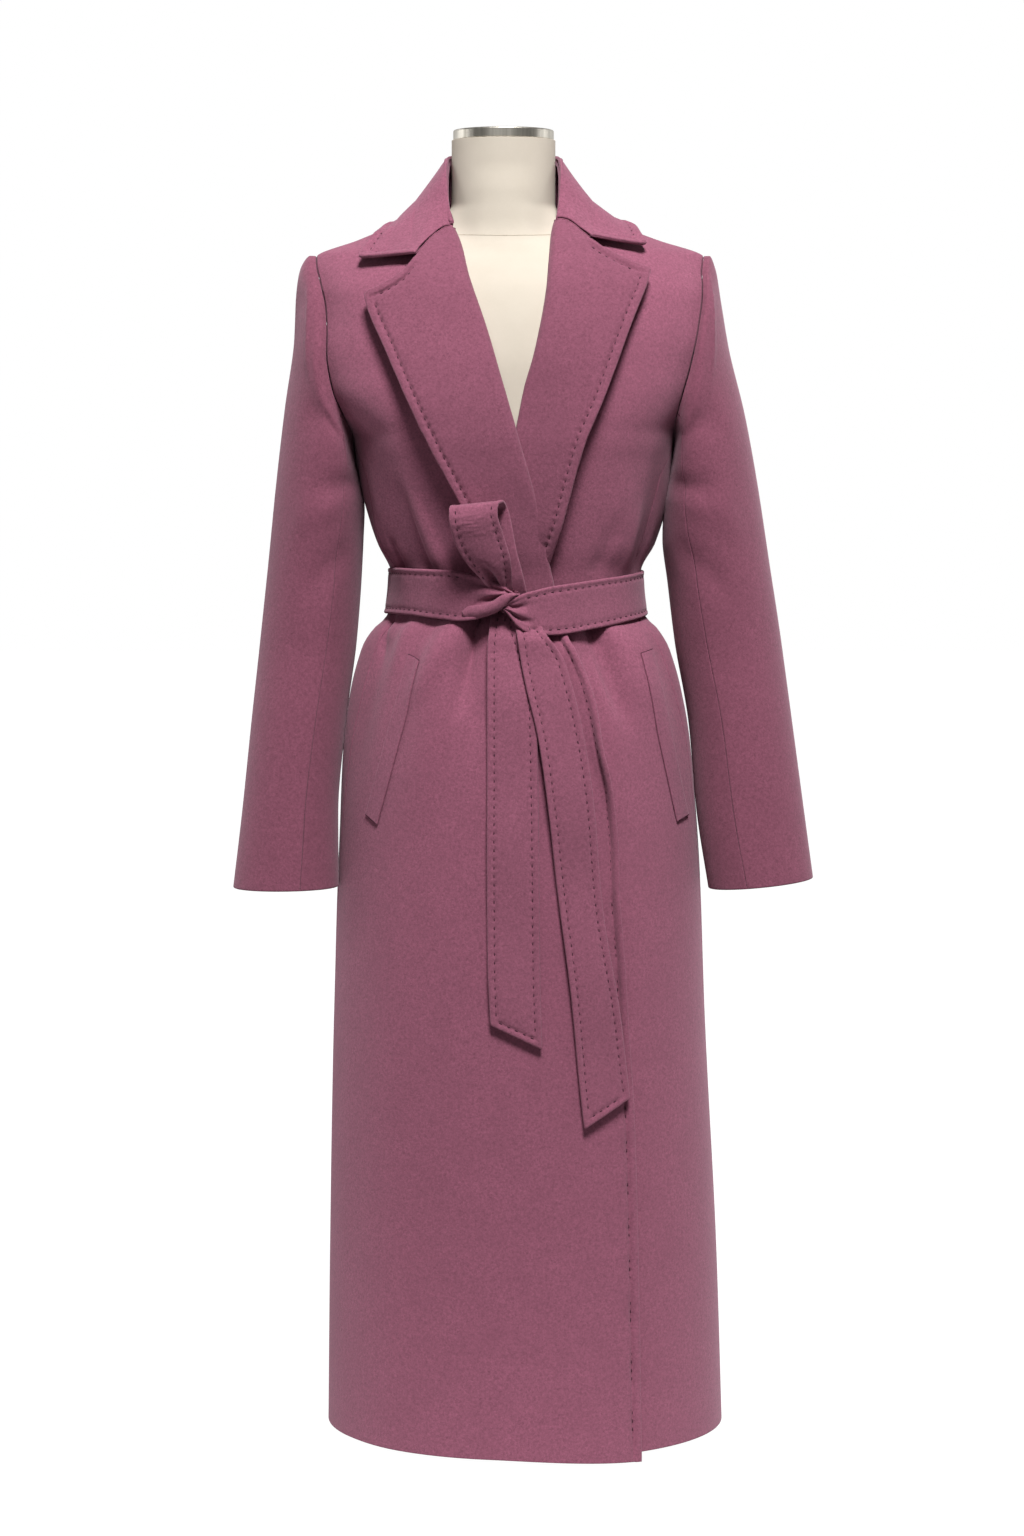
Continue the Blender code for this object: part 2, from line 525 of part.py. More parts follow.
def collar_face(u, v):
    """Visible face of the collar: u from -1 (right end) to 1 (left end), v from seam to outer edge"""
    u, v = np.broadcast_arrays(np.asarray(u, float), np.asarray(v, float))
    far = np.clip(np.abs(u), 0, 1)
    side = np.where(u < 0, RIGHT, LEFT)
    seam = neckline(side, far)
    turn, out, height, roll = (read(COLLAR, name, far, "u") for name in ("turn", "out", "z", "roll"))
    turn = np.radians(turn)
    top = np.stack([NECK_X + side * out * np.sin(turn), out * np.cos(turn), height], -1)
    away = top - np.array([NECK_X, 0.0, 0.0])
    away[..., 2] = 0
    away = away / np.linalg.norm(away, axis=-1, keepdims=True)
    up = np.array([0.0, 0.0, 1.0])
    columns = ("angle", "z", "lift")
    right_end = [read(COLLAR_EDGE[RIGHT], name, far, "u") for name in columns]
    left_end = [read(COLLAR_EDGE[LEFT], name, far, "u") for name in columns]
    angle, height, lift = (np.where(side == RIGHT, a, b) for a, b in zip(right_end, left_end))
    rim, _ = moved(plain_body, side * np.radians(angle), height, lift)
    rolled = [roll[..., None] * (away * out - up * down)
              for out, down in zip(COLLAR_LINES["out"], COLLAR_LINES["down"])]
    stand, over = top + rolled[1], top + rolled[3]
    drop = lerp(over, rim, COLLAR_FALL[0]) + rolled[4]
    notch_x = np.where(side == RIGHT, NOTCH[RIGHT][0], NOTCH[LEFT][0])
    notch_z = np.where(side == RIGHT, NOTCH[RIGHT][1], NOTCH[LEFT][1]) + NOTCH_GAP
    notch, _ = moved(plain_body, angle_at(notch_x, notch_z), notch_z, np.full(u.shape, NOTCH_LIFT))
    drop = lerp(drop, notch, step_up(far, *COLLAR_TURN_IN)[..., None])
    lay = lerp(drop, rim, COLLAR_FALL[1]) + rolled[5]
    marks = COLLAR_LINES["share"]
    path = np.stack([seam, stand, top, over, drop, lay, rim])
    weights = [smooth(v, marks, np.eye(len(marks))[k]) for k in range(len(marks))]
    weights = np.stack(weights) / np.sum(weights, axis=0)
    return np.sum(path * weights[..., None], axis=0)


def sleeve_face(side, turn, v):
    """Outer face of a sleeve: turn 0 is its outside, a quarter turn its front; v 0 is the armhole"""
    rows = SLEEVE[side]
    turn, v = np.broadcast_arrays(np.asarray(turn, float), np.asarray(v, float))
    known = np.linspace(0, 1, len(rows["y"]))
    inner_x, inner_z, outer_x, outer_z, depth, y, keep = (smooth(v, known, rows[name])
                                                          for name in SLEEVE_COLUMNS.split())
    middle = np.stack([(inner_x + outer_x) / 2, y, (inner_z + outer_z) / 2], -1)
    long_way = np.stack([(outer_x - inner_x) / 2, np.zeros_like(v), (outer_z - inner_z) / 2], -1)
    depth_way = np.stack([np.zeros_like(v), -depth, np.zeros_like(v)], -1)
    ring = middle + np.cos(turn)[..., None] * long_way + np.sin(turn)[..., None] * depth_way
    share = (1 + np.cos(turn)) / 2
    hole_z = lerp(ARMPIT_Z, TIP_Z, share)
    hole_x = read(BODY, "x", hole_z) + side * read(ARMHOLE, "out", hole_z)
    front_angle = angle_at(hole_x, hole_z)
    at_front = np.sin(turn) >= 0
    hole = plain_body(np.where(at_front, front_angle, math.pi - front_angle), hole_z)
    start = [rows[name][0] for name in ("inner_x", "inner_z", "outer_x", "outer_z", "depth", "y")]
    first = np.stack([
        (start[0] + start[2]) / 2 + np.cos(turn) * (start[2] - start[0]) / 2,
        start[5] - np.sin(turn) * start[4],
        (start[1] + start[3]) / 2 + np.cos(turn) * (start[3] - start[1]) / 2,
    ], -1)
    return ring + keep[..., None] * (hole - first)


SLEEVE_ROWS = 16
TOP_COLUMNS = 15
UNDER_COLUMNS = 9
SLEEVE_RADIUS = 0.050
# The sleeve's two long seams at armhole and cuff
FRONT_SEAM = (math.radians(140), math.radians(108))
BACK_SEAM = (math.radians(232), math.radians(246))


def sleeve_grid(side, under):
    """Points and normals of the top or under piece of a sleeve"""
    v = np.linspace(0, 1, SLEEVE_ROWS)
    front, back = lerp(FRONT_SEAM[0], FRONT_SEAM[1], v), lerp(BACK_SEAM[0], BACK_SEAM[1], v)
    gap = SEAM / 2 / SLEEVE_RADIUS
    first, last = (front + gap, back - gap) if under else (back - 2 * math.pi + gap, front - gap)
    s = np.linspace(0, 1, UNDER_COLUMNS if under else TOP_COLUMNS)
    turn = lerp(first[:, None], last[:, None], s[None])
    rows = np.repeat(v[:, None], len(s), 1)

    def face(a, b):
        return sleeve_face(side, a, np.clip(b, 0, 1))

    normal = outward(face, turn, rows, 0.03, 0.01) * side
    points = face(turn, rows)
    points[0] += np.array([side * SEAM, 0, 0])
    return points, normal


def ribbon(middle, across, half):
    """Points and normals of a band from its middle line, the way across it and its half width"""
    edge = np.linspace(-1, 1, 3)
    points = middle[:, None] + across[:, None] * (half[:, None] * edge[None])[..., None]
    along = np.gradient(middle, axis=0)
    normal = np.cross(across, along)
    normal = normal / np.linalg.norm(normal, axis=-1, keepdims=True)
    return points, np.repeat(normal[:, None], 3, 1)


def material(name, colour, roughness, metal=0.0):
    made = bpy.data.materials.new(name)
    made.use_nodes = True
    shader = made.node_tree.nodes["Principled BSDF"]
    shader.inputs["Base Color"].default_value = (*colour, 1.0)
    shader.inputs["Roughness"].default_value = roughness
    shader.inputs["Metallic"].default_value = metal
    return made


def solid(name, verts, faces, look):
    """One closed object from its points and faces"""
    mesh = bpy.data.meshes.new(name)
    mesh.from_pydata([tuple(map(float, point)) for point in verts], [], faces)
    work = bmesh.new()
    work.from_mesh(mesh)
    bmesh.ops.recalc_face_normals(work, faces=work.faces)
    work.to_mesh(mesh)
    work.free()
    for face in mesh.polygons:
        face.use_smooth = True
    mesh.materials.append(look)
    made = bpy.data.objects.new(name, mesh)
    COLLECTION.objects.link(made)
    return made


def cloth(name, points, normal, wall, look):
    """A wall of cloth inward from a grid of its outer points"""
    rows, columns = points.shape[:2]
    verts = np.concatenate([points.reshape(-1, 3), (points - wall * normal).reshape(-1, 3)])
    count = rows * columns
    faces = []
    for r in range(rows - 1):
        for c in range(columns - 1):
            quad = [r * columns + c, r * columns + c + 1, (r + 1) * columns + c + 1, (r + 1) * columns + c]
            faces.append(quad)
            faces.append([count + k for k in reversed(quad)])
    rim = [c for c in range(columns)]
    rim += [r * columns + columns - 1 for r in range(1, rows)]
    rim += [(rows - 1) * columns + c for c in range(columns - 2, -1, -1)]
    rim += [r * columns for r in range(rows - 2, 0, -1)]
    for a, b in zip(rim, rim[1:] + rim[:1]):
        faces.append([b, a, count + a, count + b])
    return solid(name, verts, faces, look)


def stacked(name, rings, look):
    """A closed solid through level rings of equal count"""
    count = len(rings[0])
    verts = np.concatenate(rings)
    faces = [list(range(count - 1, -1, -1))]
    for r in range(len(rings) - 1):
        for c in range(count):
            n = (c + 1) % count
            faces.append([r * count + c, r * count + n, (r + 1) * count + n, (r + 1) * count + c])
    faces.append([(len(rings) - 1) * count + c for c in range(count)])
    return solid(name, verts, faces, look)


def circle(radius, x, y, z, count):
    turn = np.linspace(0, 2 * math.pi, count, endpoint=False)
    return np.stack([x + radius * np.sin(turn), y - radius * np.cos(turn), np.full(count, z)], -1)


def torso_ring(z, shrink):
    """One ring of the dress form, inside the coat, cut flat at the armholes"""
    angle = np.linspace(0, 2 * math.pi, FORM_COUNT, endpoint=False)
    level = np.full(FORM_COUNT, z)
    ring, _ = moved(plain_body, angle, level, -(WALL + read(FORM_AIR, "air", level) + shrink))
    middle = read(BODY, "x", z)
    out = np.abs(ring[:, 0] - middle) + 1e-9
    flat = (out ** -PLATE_POWER + ARM_PLATE ** -PLATE_POWER) ** (-1 / PLATE_POWER)
    ring[:, 0] = middle + np.sign(ring[:, 0] - middle) * flat
    if shrink:
        ring[:, 2] = z
    return ring


def build_fronts():
    for side, name in ((RIGHT, "right"), (LEFT, "left")):
        angle, z = front_grid(side)
        lift = wrap_lift(angle, z) if side == RIGHT else np.zeros_like(z)
        points, normal = moved(body, angle, z, lift)
        cloth("front_" + name, points, normal, WALL, WOOL)
        angle, z, lift = lapel_grid(side)
        points, normal = moved(plain_body, angle, z, lift)
        cloth("lapel_" + name, points, normal, WALL, WOOL_TRIM)
        corners = np.array(WELT[side])
        down = np.linspace(0, 1, 7)[:, None, None]
        over = np.linspace(0, 1, 3)[None, :, None]
        place = lerp(lerp(corners[0], corners[1], over), lerp(corners[2], corners[3], over), down)
        angle, z = angle_at(place[..., 0], place[..., 1]), place[..., 1]
        lift = (wrap_lift(angle, z) if side == RIGHT else 0) + np.full(z.shape, LAP_AIR + WELT_WALL)
        points, normal = moved(body, angle, z, lift)
        cloth("pocket_welt_" + name, points, normal, WELT_WALL, WOOL_TRIM)


def build_back_and_sleeves():
    angle, z = back_grid()
    points, normal = moved(body, angle, z, np.zeros_like(z))
    cloth("back", points, normal, WALL, WOOL)
    for side, name in ((RIGHT, "sleeve_right"), (LEFT, "sleeve_left")):
        cloth(name + "_top", *sleeve_grid(side, False), WALL, WOOL)
        cloth(name + "_under", *sleeve_grid(side, True), WALL, WOOL)


def build_collar():
    u = np.linspace(-1, 1, 29)
    v = np.concatenate([np.linspace(0, 0.42, 7), np.linspace(0.42, 1, 6)[1:]])
    across, down = np.meshgrid(u, v)

    def face(a, b):
        return collar_face(np.clip(a, -1, 1), np.clip(b, 0, 1))

    normal = outward(face, across, down, 0.01, 0.01)
    cloth("collar", face(across, down), normal, WALL, WOOL_TRIM)


def build_belt():
    turn = np.radians(np.linspace(*BELT_ENDS, BELT_COLUMNS))
    near = np.minimum(np.abs(turn), 2 * math.pi - turn)
    pinch = 1 - step_up(near, *PINCH_TURN)
    half = lerp(BELT_HALF, PINCH_HALF, pinch)
    middle_z = BELT_Z + BELT_RISE - np.where(turn < math.pi, PINCH_DROP[LEFT], PINCH_DROP[RIGHT]) * pinch
    edge = np.linspace(-1, 1, 5)
    z = middle_z[:, None] + half[:, None] * edge[None]
    angle = np.repeat(turn[:, None], 5, 1)
    pad = FRONT_PAD * (1 - step_up(near, *FRONT_PAD_TURN))
    lift = np.repeat((BELT_WALL + BELT_AIR + pad)[:, None], 5, 1)
    points, normal = moved(plain_body, angle, z, lift)
    cloth("belt_band", points, normal, BELT_WALL, WOOL_BELT)
    arch = np.radians(np.linspace(-90, 90, 11))
    rise = np.sin(arch) * KNOT_HEIGHT
    out = np.cos(arch) ** KNOT_ROUND * KNOT_DEPTH
    lean = np.array([math.sin(KNOT_TURN), 0, math.cos(KNOT_TURN)])
    middle = np.array(KNOT_MIDDLE) + rise[:, None] * lean - out[:, None] * np.array([0, 1.0, 0])
    across = np.repeat(np.array([[math.cos(KNOT_TURN), 0, -math.sin(KNOT_TURN)]]), len(arch), 0)
    half = lerp(*KNOT_HALF, np.cos(arch))
    points, normal = ribbon(middle, across, half)
    cloth("belt_knot", points, normal, BELT_WALL, WOOL_BELT)
    s = np.linspace(0, 1, 19)
    middle = np.stack([read(LOOP, name, s, "s") for name in "xyz"], -1)
    lean = read(LOOP, "lean", s, "s")
    across = np.stack([np.ones_like(s), np.zeros_like(s), lean], -1)
    across = across / np.linalg.norm(across, axis=-1, keepdims=True)
    points, normal = ribbon(middle, across, read(LOOP, "half", s, "s"))
    cloth("belt_loop", points, -normal, LOOP_WALL, WOOL_BELT)
    for side, name in ((LEFT, "belt_tail_left"), (RIGHT, "belt_tail_right")):
        rows = TAIL[side]
        t = np.linspace(0, 1, 16)
        z = lerp(rows["z"][0], rows["z"][-1], t)
        left, right, over = (read(rows, column, z) for column in ("left", "right", "over"))
        s = np.linspace(0, 1, 5)
        x = lerp(left[:, None], right[:, None], s[None])
        slant = TAIL_SLANT[side] * step_up(t, *SLANT_SHARE)
        level = -z[:, None] + slant[:, None] * (s[None] - 0.5)
        angle = angle_at(x, level)
        lift = wrap_lift(angle, level) + BELT_WALL + over[:, None]
        points, normal = moved(plain_body, angle, level, lift)
        cloth(name, points, normal, BELT_WALL, WOOL_BELT)


def build_form():
    rings = [torso_ring(z, shrink) for z, shrink in zip(TORSO["z"], TORSO["shrink"])]
    rings += [circle(radius, NECK_X, 0.0, z, FORM_COUNT)
              for z, radius in zip(FORM_STALK["z"], FORM_STALK["radius"])]
    stacked("form_torso", rings, LINEN)
    cap_radius = FORM_NECK - EDGE_CUT
    cap = [(cap_radius, CAP_Z), (cap_radius, CAP_TOP_Z - EDGE_CUT), (cap_radius - EDGE_CUT, CAP_TOP_Z)]
    stacked("form_cap", [circle(radius, NECK_X, 0.0, z, FORM_COUNT) for radius, z in cap], METAL)
    pole = (BASE_TOP + SEAM, TORSO_FOOT_Z - SEAM)
    stacked("stand_pole", [circle(POLE_RADIUS, 0, 0, z, POLE_COUNT) for z in pole], STAND)
    base = [(BASE_RADIUS, 0.0), (BASE_RADIUS, BASE_EDGE - EDGE_CUT), (BASE_RADIUS - EDGE_CUT, BASE_EDGE),
            (BASE_SOCKET, BASE_TOP)]
    stacked("stand_base", [circle(radius, 0, 0, z, BASE_COUNT) for radius, z in base], STAND)


for old in list(bpy.data.objects):
    bpy.data.objects.remove(old)
COLLECTION = bpy.data.collections.new("wrap_coat")
bpy.context.scene.collection.children.link(COLLECTION)
WOOL = material("wool", (0.255, 0.088, 0.138), 0.92)
WOOL_TRIM = material("wool_trim", (0.275, 0.100, 0.155), 0.92)
WOOL_BELT = material("wool_belt", (0.250, 0.090, 0.138), 0.92)
LINEN = material("linen", (0.80, 0.72, 0.60), 0.85)
METAL = material("brushed_metal", (0.42, 0.38, 0.32), 0.35, 1.0)
STAND = material("dark_steel", (0.06, 0.06, 0.06), 0.5, 0.6)

build_fronts()
build_back_and_sleeves()
build_collar()
build_belt()
build_form()
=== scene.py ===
"""Looks of the wool wrap coat with a tied belt, on its dress form and low stand.

Metres, +Z up, the same frame as the solids. The front faces -Y and the wearer's right is at -X.
Every piece of cloth is a thin shell with rounded edges on the form of the solid that it replaces.
"""

import math

import bpy
import numpy as np
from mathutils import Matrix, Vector, kdtree


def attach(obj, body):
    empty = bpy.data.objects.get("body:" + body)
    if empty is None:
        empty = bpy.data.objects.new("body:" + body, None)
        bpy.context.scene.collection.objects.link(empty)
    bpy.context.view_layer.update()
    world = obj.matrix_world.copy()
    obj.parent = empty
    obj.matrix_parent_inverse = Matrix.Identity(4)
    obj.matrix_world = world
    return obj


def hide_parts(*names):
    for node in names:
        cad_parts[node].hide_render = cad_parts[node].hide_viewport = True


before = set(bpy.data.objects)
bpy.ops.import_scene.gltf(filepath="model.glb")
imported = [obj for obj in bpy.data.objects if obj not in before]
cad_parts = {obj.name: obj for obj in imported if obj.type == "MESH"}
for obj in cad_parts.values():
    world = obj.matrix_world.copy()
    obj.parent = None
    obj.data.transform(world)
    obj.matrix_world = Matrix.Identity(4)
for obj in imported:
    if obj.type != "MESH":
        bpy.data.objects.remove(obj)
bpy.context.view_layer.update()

# Walls of the coat's cloth, belt and welts; the gap of a seam; air under what lies on top
WALL = 0.0020
BELT_WALL = 0.0036
WELT_WALL = 0.0016
SEAM = 0.0003
LIE = 0.0005
LAP_AIR = 0.0010
BELT_AIR = 0.0014

# Heights of the coat, and where the middle of its neck is
HEM_Z = 0.018
BELT_Z = 0.868
BELT_HALF = 0.0230
ARMPIT_Z = 1.030
TIP_Z = 1.2094
NECK_Z = 1.2560
NAPE_Z = 1.2610
NECK_X = -0.0085

# Dress form and stand
TORSO_FOOT_Z = 0.640
FORM_NECK = 0.0520
CAP_Z = 1.3240
CAP_TOP_Z = 1.3340
POLE_RADIUS = 0.0125
BASE_RADIUS = 0.0960
BASE_EDGE = 0.0050
BASE_TOP = 0.0130
EDGE_CUT = 0.0015

QUARTER = math.pi / 2
RIGHT = -1
LEFT = 1
MM = 0.001
CLOSE = 1e-6
TINY = 1e-12


def table(columns, rows):
    """Named columns of a table whose rows are in millimetres, or as written where a name is marked ="""
    names = columns.split()
    values = np.array(rows.replace(",", " ").split(), float).reshape(-1, len(names))
    return {name.strip("="): values[:, k] * (1 if "=" in name else MM) for k, name in enumerate(names)}


def smooth(at, known, values):
    """Values on a curve through the known places, which never overshoots between two of them"""
    at = np.clip(np.asarray(at, float), known[0], known[-1])
    step = np.diff(known)
    slope = np.diff(values) / step
    product = slope[:-1] * slope[1:]
    total = slope[:-1] + slope[1:]
    middle = np.where(product > 0, 2 * product / np.where(total == 0, 1, total), 0.0)
    tangent = np.concatenate([[slope[0]], middle, [slope[-1]]])
    row = np.clip(np.searchsorted(known, at, side="right") - 1, 0, len(step) - 1)
    u = (at - known[row]) / step[row]
    start = values[row] + u * u * (3 - 2 * u) * (values[row + 1] - values[row])
    bend = u * (1 - u) * ((1 - u) * tangent[row] - u * tangent[row + 1]) * step[row]
    return start + bend


def read(rows, column, at, by="z"):
    """One column of a table at the given places"""
    return smooth(at, rows[by], rows[column])


def step_up(value, low, high):
    """0 below low, 1 above high, soft between"""
    u = np.clip((np.asarray(value, float) - low) / (high - low), 0, 1)
    return u * u * (3 - 2 * u)


def lerp(a, b, t):
    return a + (b - a) * t


def bell(off):
    return np.exp(-np.square(off))


def between(value, span):
    """1 between two soft steps, up over span's low pair and down over its high pair"""
    return step_up(value, *span["low"]) * (1 - step_up(value, *span["high"]))


def unit(ways, least=0.0):
    return ways / (np.linalg.norm(ways, axis=-1, keepdims=True) + least)


def turned(angle, degrees):
    """How far an angle is past a direction in degrees, at most half a turn either way"""
    return np.angle(np.exp(1j * (angle - np.radians(degrees))))


def rows_of(named):
    return zip(*named.values())


# Level sections of the coat. half is the half width; front and back are depths from y = 0;
# x is the middle; square 2 is an ellipse, less is nearer a diamond.
# Between armpit and shoulder tip the section runs on past the armhole.
BODY = table("z half front back x =square", """
    18 203.5 160 162 13.5 2,
    200 199 154 158 11.5 2,
    450 189.5 145 151 7.5 2.05,
    600 184 139 147 7 2.05,
    700 175 132 140 6 2.1,
    775 163 123 129 5 2.1,
    820 150 109 113 4.5 2.1,
    835 143 103.8 107.4 4.2 2.1,
    846.5 132.2 99.6 102.6 4 2.1,
    868 126 97 100 4 2.1,
    891 126.5 98.5 100 4 2.1,
    920 138 104.5 102 3.5 2.1,
    960 149.5 112 106.5 3 2.15,
    1000 156 118 111 2 2.3,
    1030 160 120 114 1.5 2.5,
    1045 170 119.5 115 1 2.5,
    1070 186 118 116.5 0.5 2.4,
    1094 198 116.5 117 0 2.2,
    1134 211.5 109 114 -0.5 2.05,
    1170 210.5 97 106 -1 1.95,
    1190 204.5 86.5 97 -1.5 1.8,
    1209.4 194.5 74 86 -2 1.55,
    1225 151.5 64 76 -4 1.45,
    1240 113 56 68 -6.5 1.45,
    1256 74 51.5 60 -8.5 1.5,
    1275 60 50 56 -8.5 1.6""")

# Folds that run from the belt: angle round from the middle of the front in degrees, how far
# the fold leans by its end, its width in degrees, its height (a trough is below 0), its length.
FOLD_COLUMNS = "=angle =lean =width height reach"
FOLD_START = 0.030
FOLD_HOLD = 0.35
SKIRT_FOLDS = table(FOLD_COLUMNS, """
    -13 -1 4.5 -5.8 150,
    -25 -12 8 5.5 240,
    -60 -8 8 -4 200,
    -86 -3 9 5.5 240,
    -112 4 8 -4 220,
    -138 6 9 5.5 260,
    -163 4 8 -4.5 240,
    178 0 9 5 280,
    155 -4 8 -4 220,
    130 -6 9 5.5 260,
    104 -4 8 -4 220,
    78 3 9 5 240,
    55 7 8 3.5 200,
    27 -1 4.5 -6.5 160""")
BODICE_FOLDS = table(FOLD_COLUMNS, """
    -48 3 7 -4 130,
    -66 2 8 4 140,
    -100 0 9 -3.5 130,
    -135 2 9 4 150,
    -165 0 8 -3.5 140,
    165 0 9 4 150,
    132 -2 9 -3.5 130,
    98 0 8 4 140,
    66 -2 7 -4 140,
    46 -3 8 3.5 120""")

# The fronts' inner edges by height: the wrap below the belt, the roll line above it
INNER_EDGE = {
    RIGHT: table("z x", """
        18 128, 225 124, 367 119.5, 476 110.5, 605 99.5, 674 90.5, 732 76.5, 790 64, 830 53, 885 40, 956 26,
        1036 4, 1090 -11.5, 1135 -24.7, 1185 -42, 1238 -59.5, 1256 -82.5"""),
    LEFT: table("z x", """
        18 -100, 450 -90, 680 -72, 830 -42, 885 -30, 956 -15, 1036 4, 1075 11.8, 1107 20.7, 1160 31.6,
        1203 37.5, 1238 44, 1256 65.5"""),
}
# Side seams by height, in degrees round from the middle of the front
SIDE_SEAM = table("z =degrees", """
    18 88, 450 84, 700 76, 800 70, 868 68, 985 70, 1030 90""")
# Armhole by height: how far out from the middle
ARMHOLE = table("z out", """
    1030 160, 1045 164, 1070 171, 1094 177, 1134 186.5, 1170 192.5, 1209.4 194.5""")

# The lap of the fronts: where round the coat it begins, where the left lapel adds a layer to it,
# and where it ends above
LAP_TURN = (math.radians(-62), math.radians(-38))
LAPEL_FOOT = (0.78, 0.85)
LAP_END = (1.05, 1.14)

# Lapels from the belt up: height on the roll line, then the outer edge. The last row is the
# lapel's point; the notch lies between it and the roll line.
LAPEL_COLUMNS = "roll_z edge_x edge_z"
LAPEL = {
    RIGHT: table(LAPEL_COLUMNS, """
        876 -6 878, 950 -41 957, 1036 -79.5 1032, 1090 -98.3 1069, 1135 -116 1107, 1185 -134 1143,
        1238 -144.7 1172"""),
    LEFT: table(LAPEL_COLUMNS, """
        876 30 878, 950 46 945, 1036 66 1019, 1090 86 1065, 1135 102 1108, 1185 119 1152,
        1238 135.7 1196.4"""),
}
# Heights between which each lapel starts to swell, and by how much; then the share of its length
# over which its top edge turns in, and the notch as x, z
LAPEL_OPEN = {RIGHT: (0.93, 1.10), LEFT: (1.03, 1.14)}
LAPEL_SWELL = {"least": 0.0016, "middle": 0.0044}
LAPEL_TURN_IN = (0.80, 1.0)
NOTCH = {RIGHT: (-0.0978, 1.2010), LEFT: (0.0829, 1.2215)}

# The top of the collar's roll from the middle of the back (u 0) to its front end (u 1): the turn
# round the neck in degrees, the distance from the neck's middle, and how much roll is left
COLLAR = table("=u =turn out z =roll", """
    0 0 62.5 1313.5 1,
    0.2 36 61 1313 1,
    0.4 68 58 1310.5 1,
    0.55 90 57 1305 1,
    0.7 107 60 1292 0.9,
    0.85 121 65 1266 0.6,
    1 131 69 1243.5 0.15""")
NECK_POINT_U = 0.55
GORGE_Z = 1.2416
# Lines across the collar: share of the way from its seam to its outer edge, and how far a full
# roll moves the line out from the neck and down from where it would lie
COLLAR_LINES = table("=share out down", """
    0 0 0, 0.24 -3 9, 0.34 0 0, 0.42 5 6, 0.66 0 10, 0.84 0 3.5, 1 0 0""")
COLLAR_FALL = (0.42, 0.55)
COLLAR_TURN_IN = (0.78, 1.0)
NOTCH_LIFT = 0.0075
NOTCH_GAP = 0.0020
# The collar's outer edge on the coat: angle round in degrees and height, by side
COLLAR_EDGE = {
    RIGHT: table("=u =angle z lift", """
        0 180 1244 5, 0.2 152 1242 5, 0.4 122 1237 5.5, 0.55 91 1235 6, 0.7 69 1229.5 6,
        0.85 59 1216.5 6.5, 1 52 1201.5 7"""),
    LEFT: table("=u =angle z lift", """
        0 180 1244 5, 0.2 153 1242 5, 0.4 126 1238 5.5, 0.55 96 1237 6, 0.7 72 1230 6, 0.85 60 1222 6.5,
        1 51 1214 7"""),
}

# Sleeves from the armhole to the cuff: inner and outer points of each ring, half its depth,
# its middle, and how much of the armhole's shape is left
SLEEVE_COLUMNS = "inner_x inner_z outer_x outer_z depth y =keep"
SLEEVE = {
    RIGHT: table(SLEEVE_COLUMNS, """
        -158.5 1030 -196.5 1209.4 61 0 1,
        -159.8 1023.5 -203 1209.6 64 0 0.8,
        -158.7 1015 -213 1196 67 0.5 0.55,
        -156.6 1002 -217.5 1168 68 1 0.3,
        -153 983 -219.5 1125 67 2 0.12,
        -149.2 956 -229.2 1058 65 3 0,
        -150.5 925 -238.8 980 62 4 0,
        -153 880 -247.3 900 59 5 0,
        -158 820 -255.5 826 56.5 4 0,
        -168.5 740 -264.7 740 53 -6 0,
        -176.2 650 -273.5 652 47 -19 0,
        -175.5 575 -282.5 574 43 -30 0"""),
    LEFT: table(SLEEVE_COLUMNS, """
        161.5 1030 192.5 1209.4 61 0 1,
        162.9 1023.5 198.5 1209.4 64 0 0.8,
        162 1015 205 1195 67 0.5 0.55,
        160.4 1002 211 1160 68 1 0.3,
        157.6 983 218.5 1117 67 2 0.12,
        153.4 956 235.2 1050 65 3 0,
        152.5 925 247.7 985 62 4 0,
        158 880 261.3 900 59 5 0,
        165.5 820 273 826 56.5 4 0,
        179.2 740 284.3 742 53 -6 0,
        187.2 650 295.5 656 47 -19 0,
        199 573 305 584 43 -30 0"""),
}

# Pocket welts: the four corners as x, z
WELT = {
    RIGHT: ((-0.1000, 0.8120), (-0.0850, 0.8060), (-0.1450, 0.6530), (-0.1320, 0.6440)),
    LEFT: ((0.1240, 0.8135), (0.1370, 0.8165), (0.1640, 0.6450), (0.1760, 0.6500)),
}

# The belt's two tails from the knot down: both edges by height, and what they lie over
TAIL_COLUMNS = "z left right over"
TAIL = {
    LEFT: table(TAIL_COLUMNS, """
        -836 -21 6 5.2, -815 -23.2 12 2, -760 -23.5 23.5 0.6, -600 -23.6 26.2 0.6, -510 -23 27 0.6,
        -440 -20.5 29 0.8"""),
    RIGHT: table(TAIL_COLUMNS, """
        -837 3 29 11, -800 9 56 6.2, -730 25 74 5.6, -660 34.5 84 3, -590 42.5 90.5 0.8, -480 56 102 0.6,
        -362 69 112.5 1"""),
}
# How far the cut end of each tail slants, and the share of its length over which that grows
TAIL_SLANT = {LEFT: -0.0240, RIGHT: 0.0280}
SLANT_SHARE = (0.75, 1.0)
# Wall of the half bow
LOOP_WALL = 0.0030

# Air between the coat's inner face and the dress form
FORM_AIR = table("z air", """
    640 20, 720 13, 800 6.5, 868 5, 960 5, 1030 4, 1110 2.2, 1170 1.6, 1215 1.8, 1234 5.8""")
# Rings of the form's neck, up to its cap, and how squarely the arm plates cut the form
FORM_STALK = table("z radius", """
    1251 53, 1262 52.3, 1285 52, 1323.7 52""")
PLATE_POWER = 10


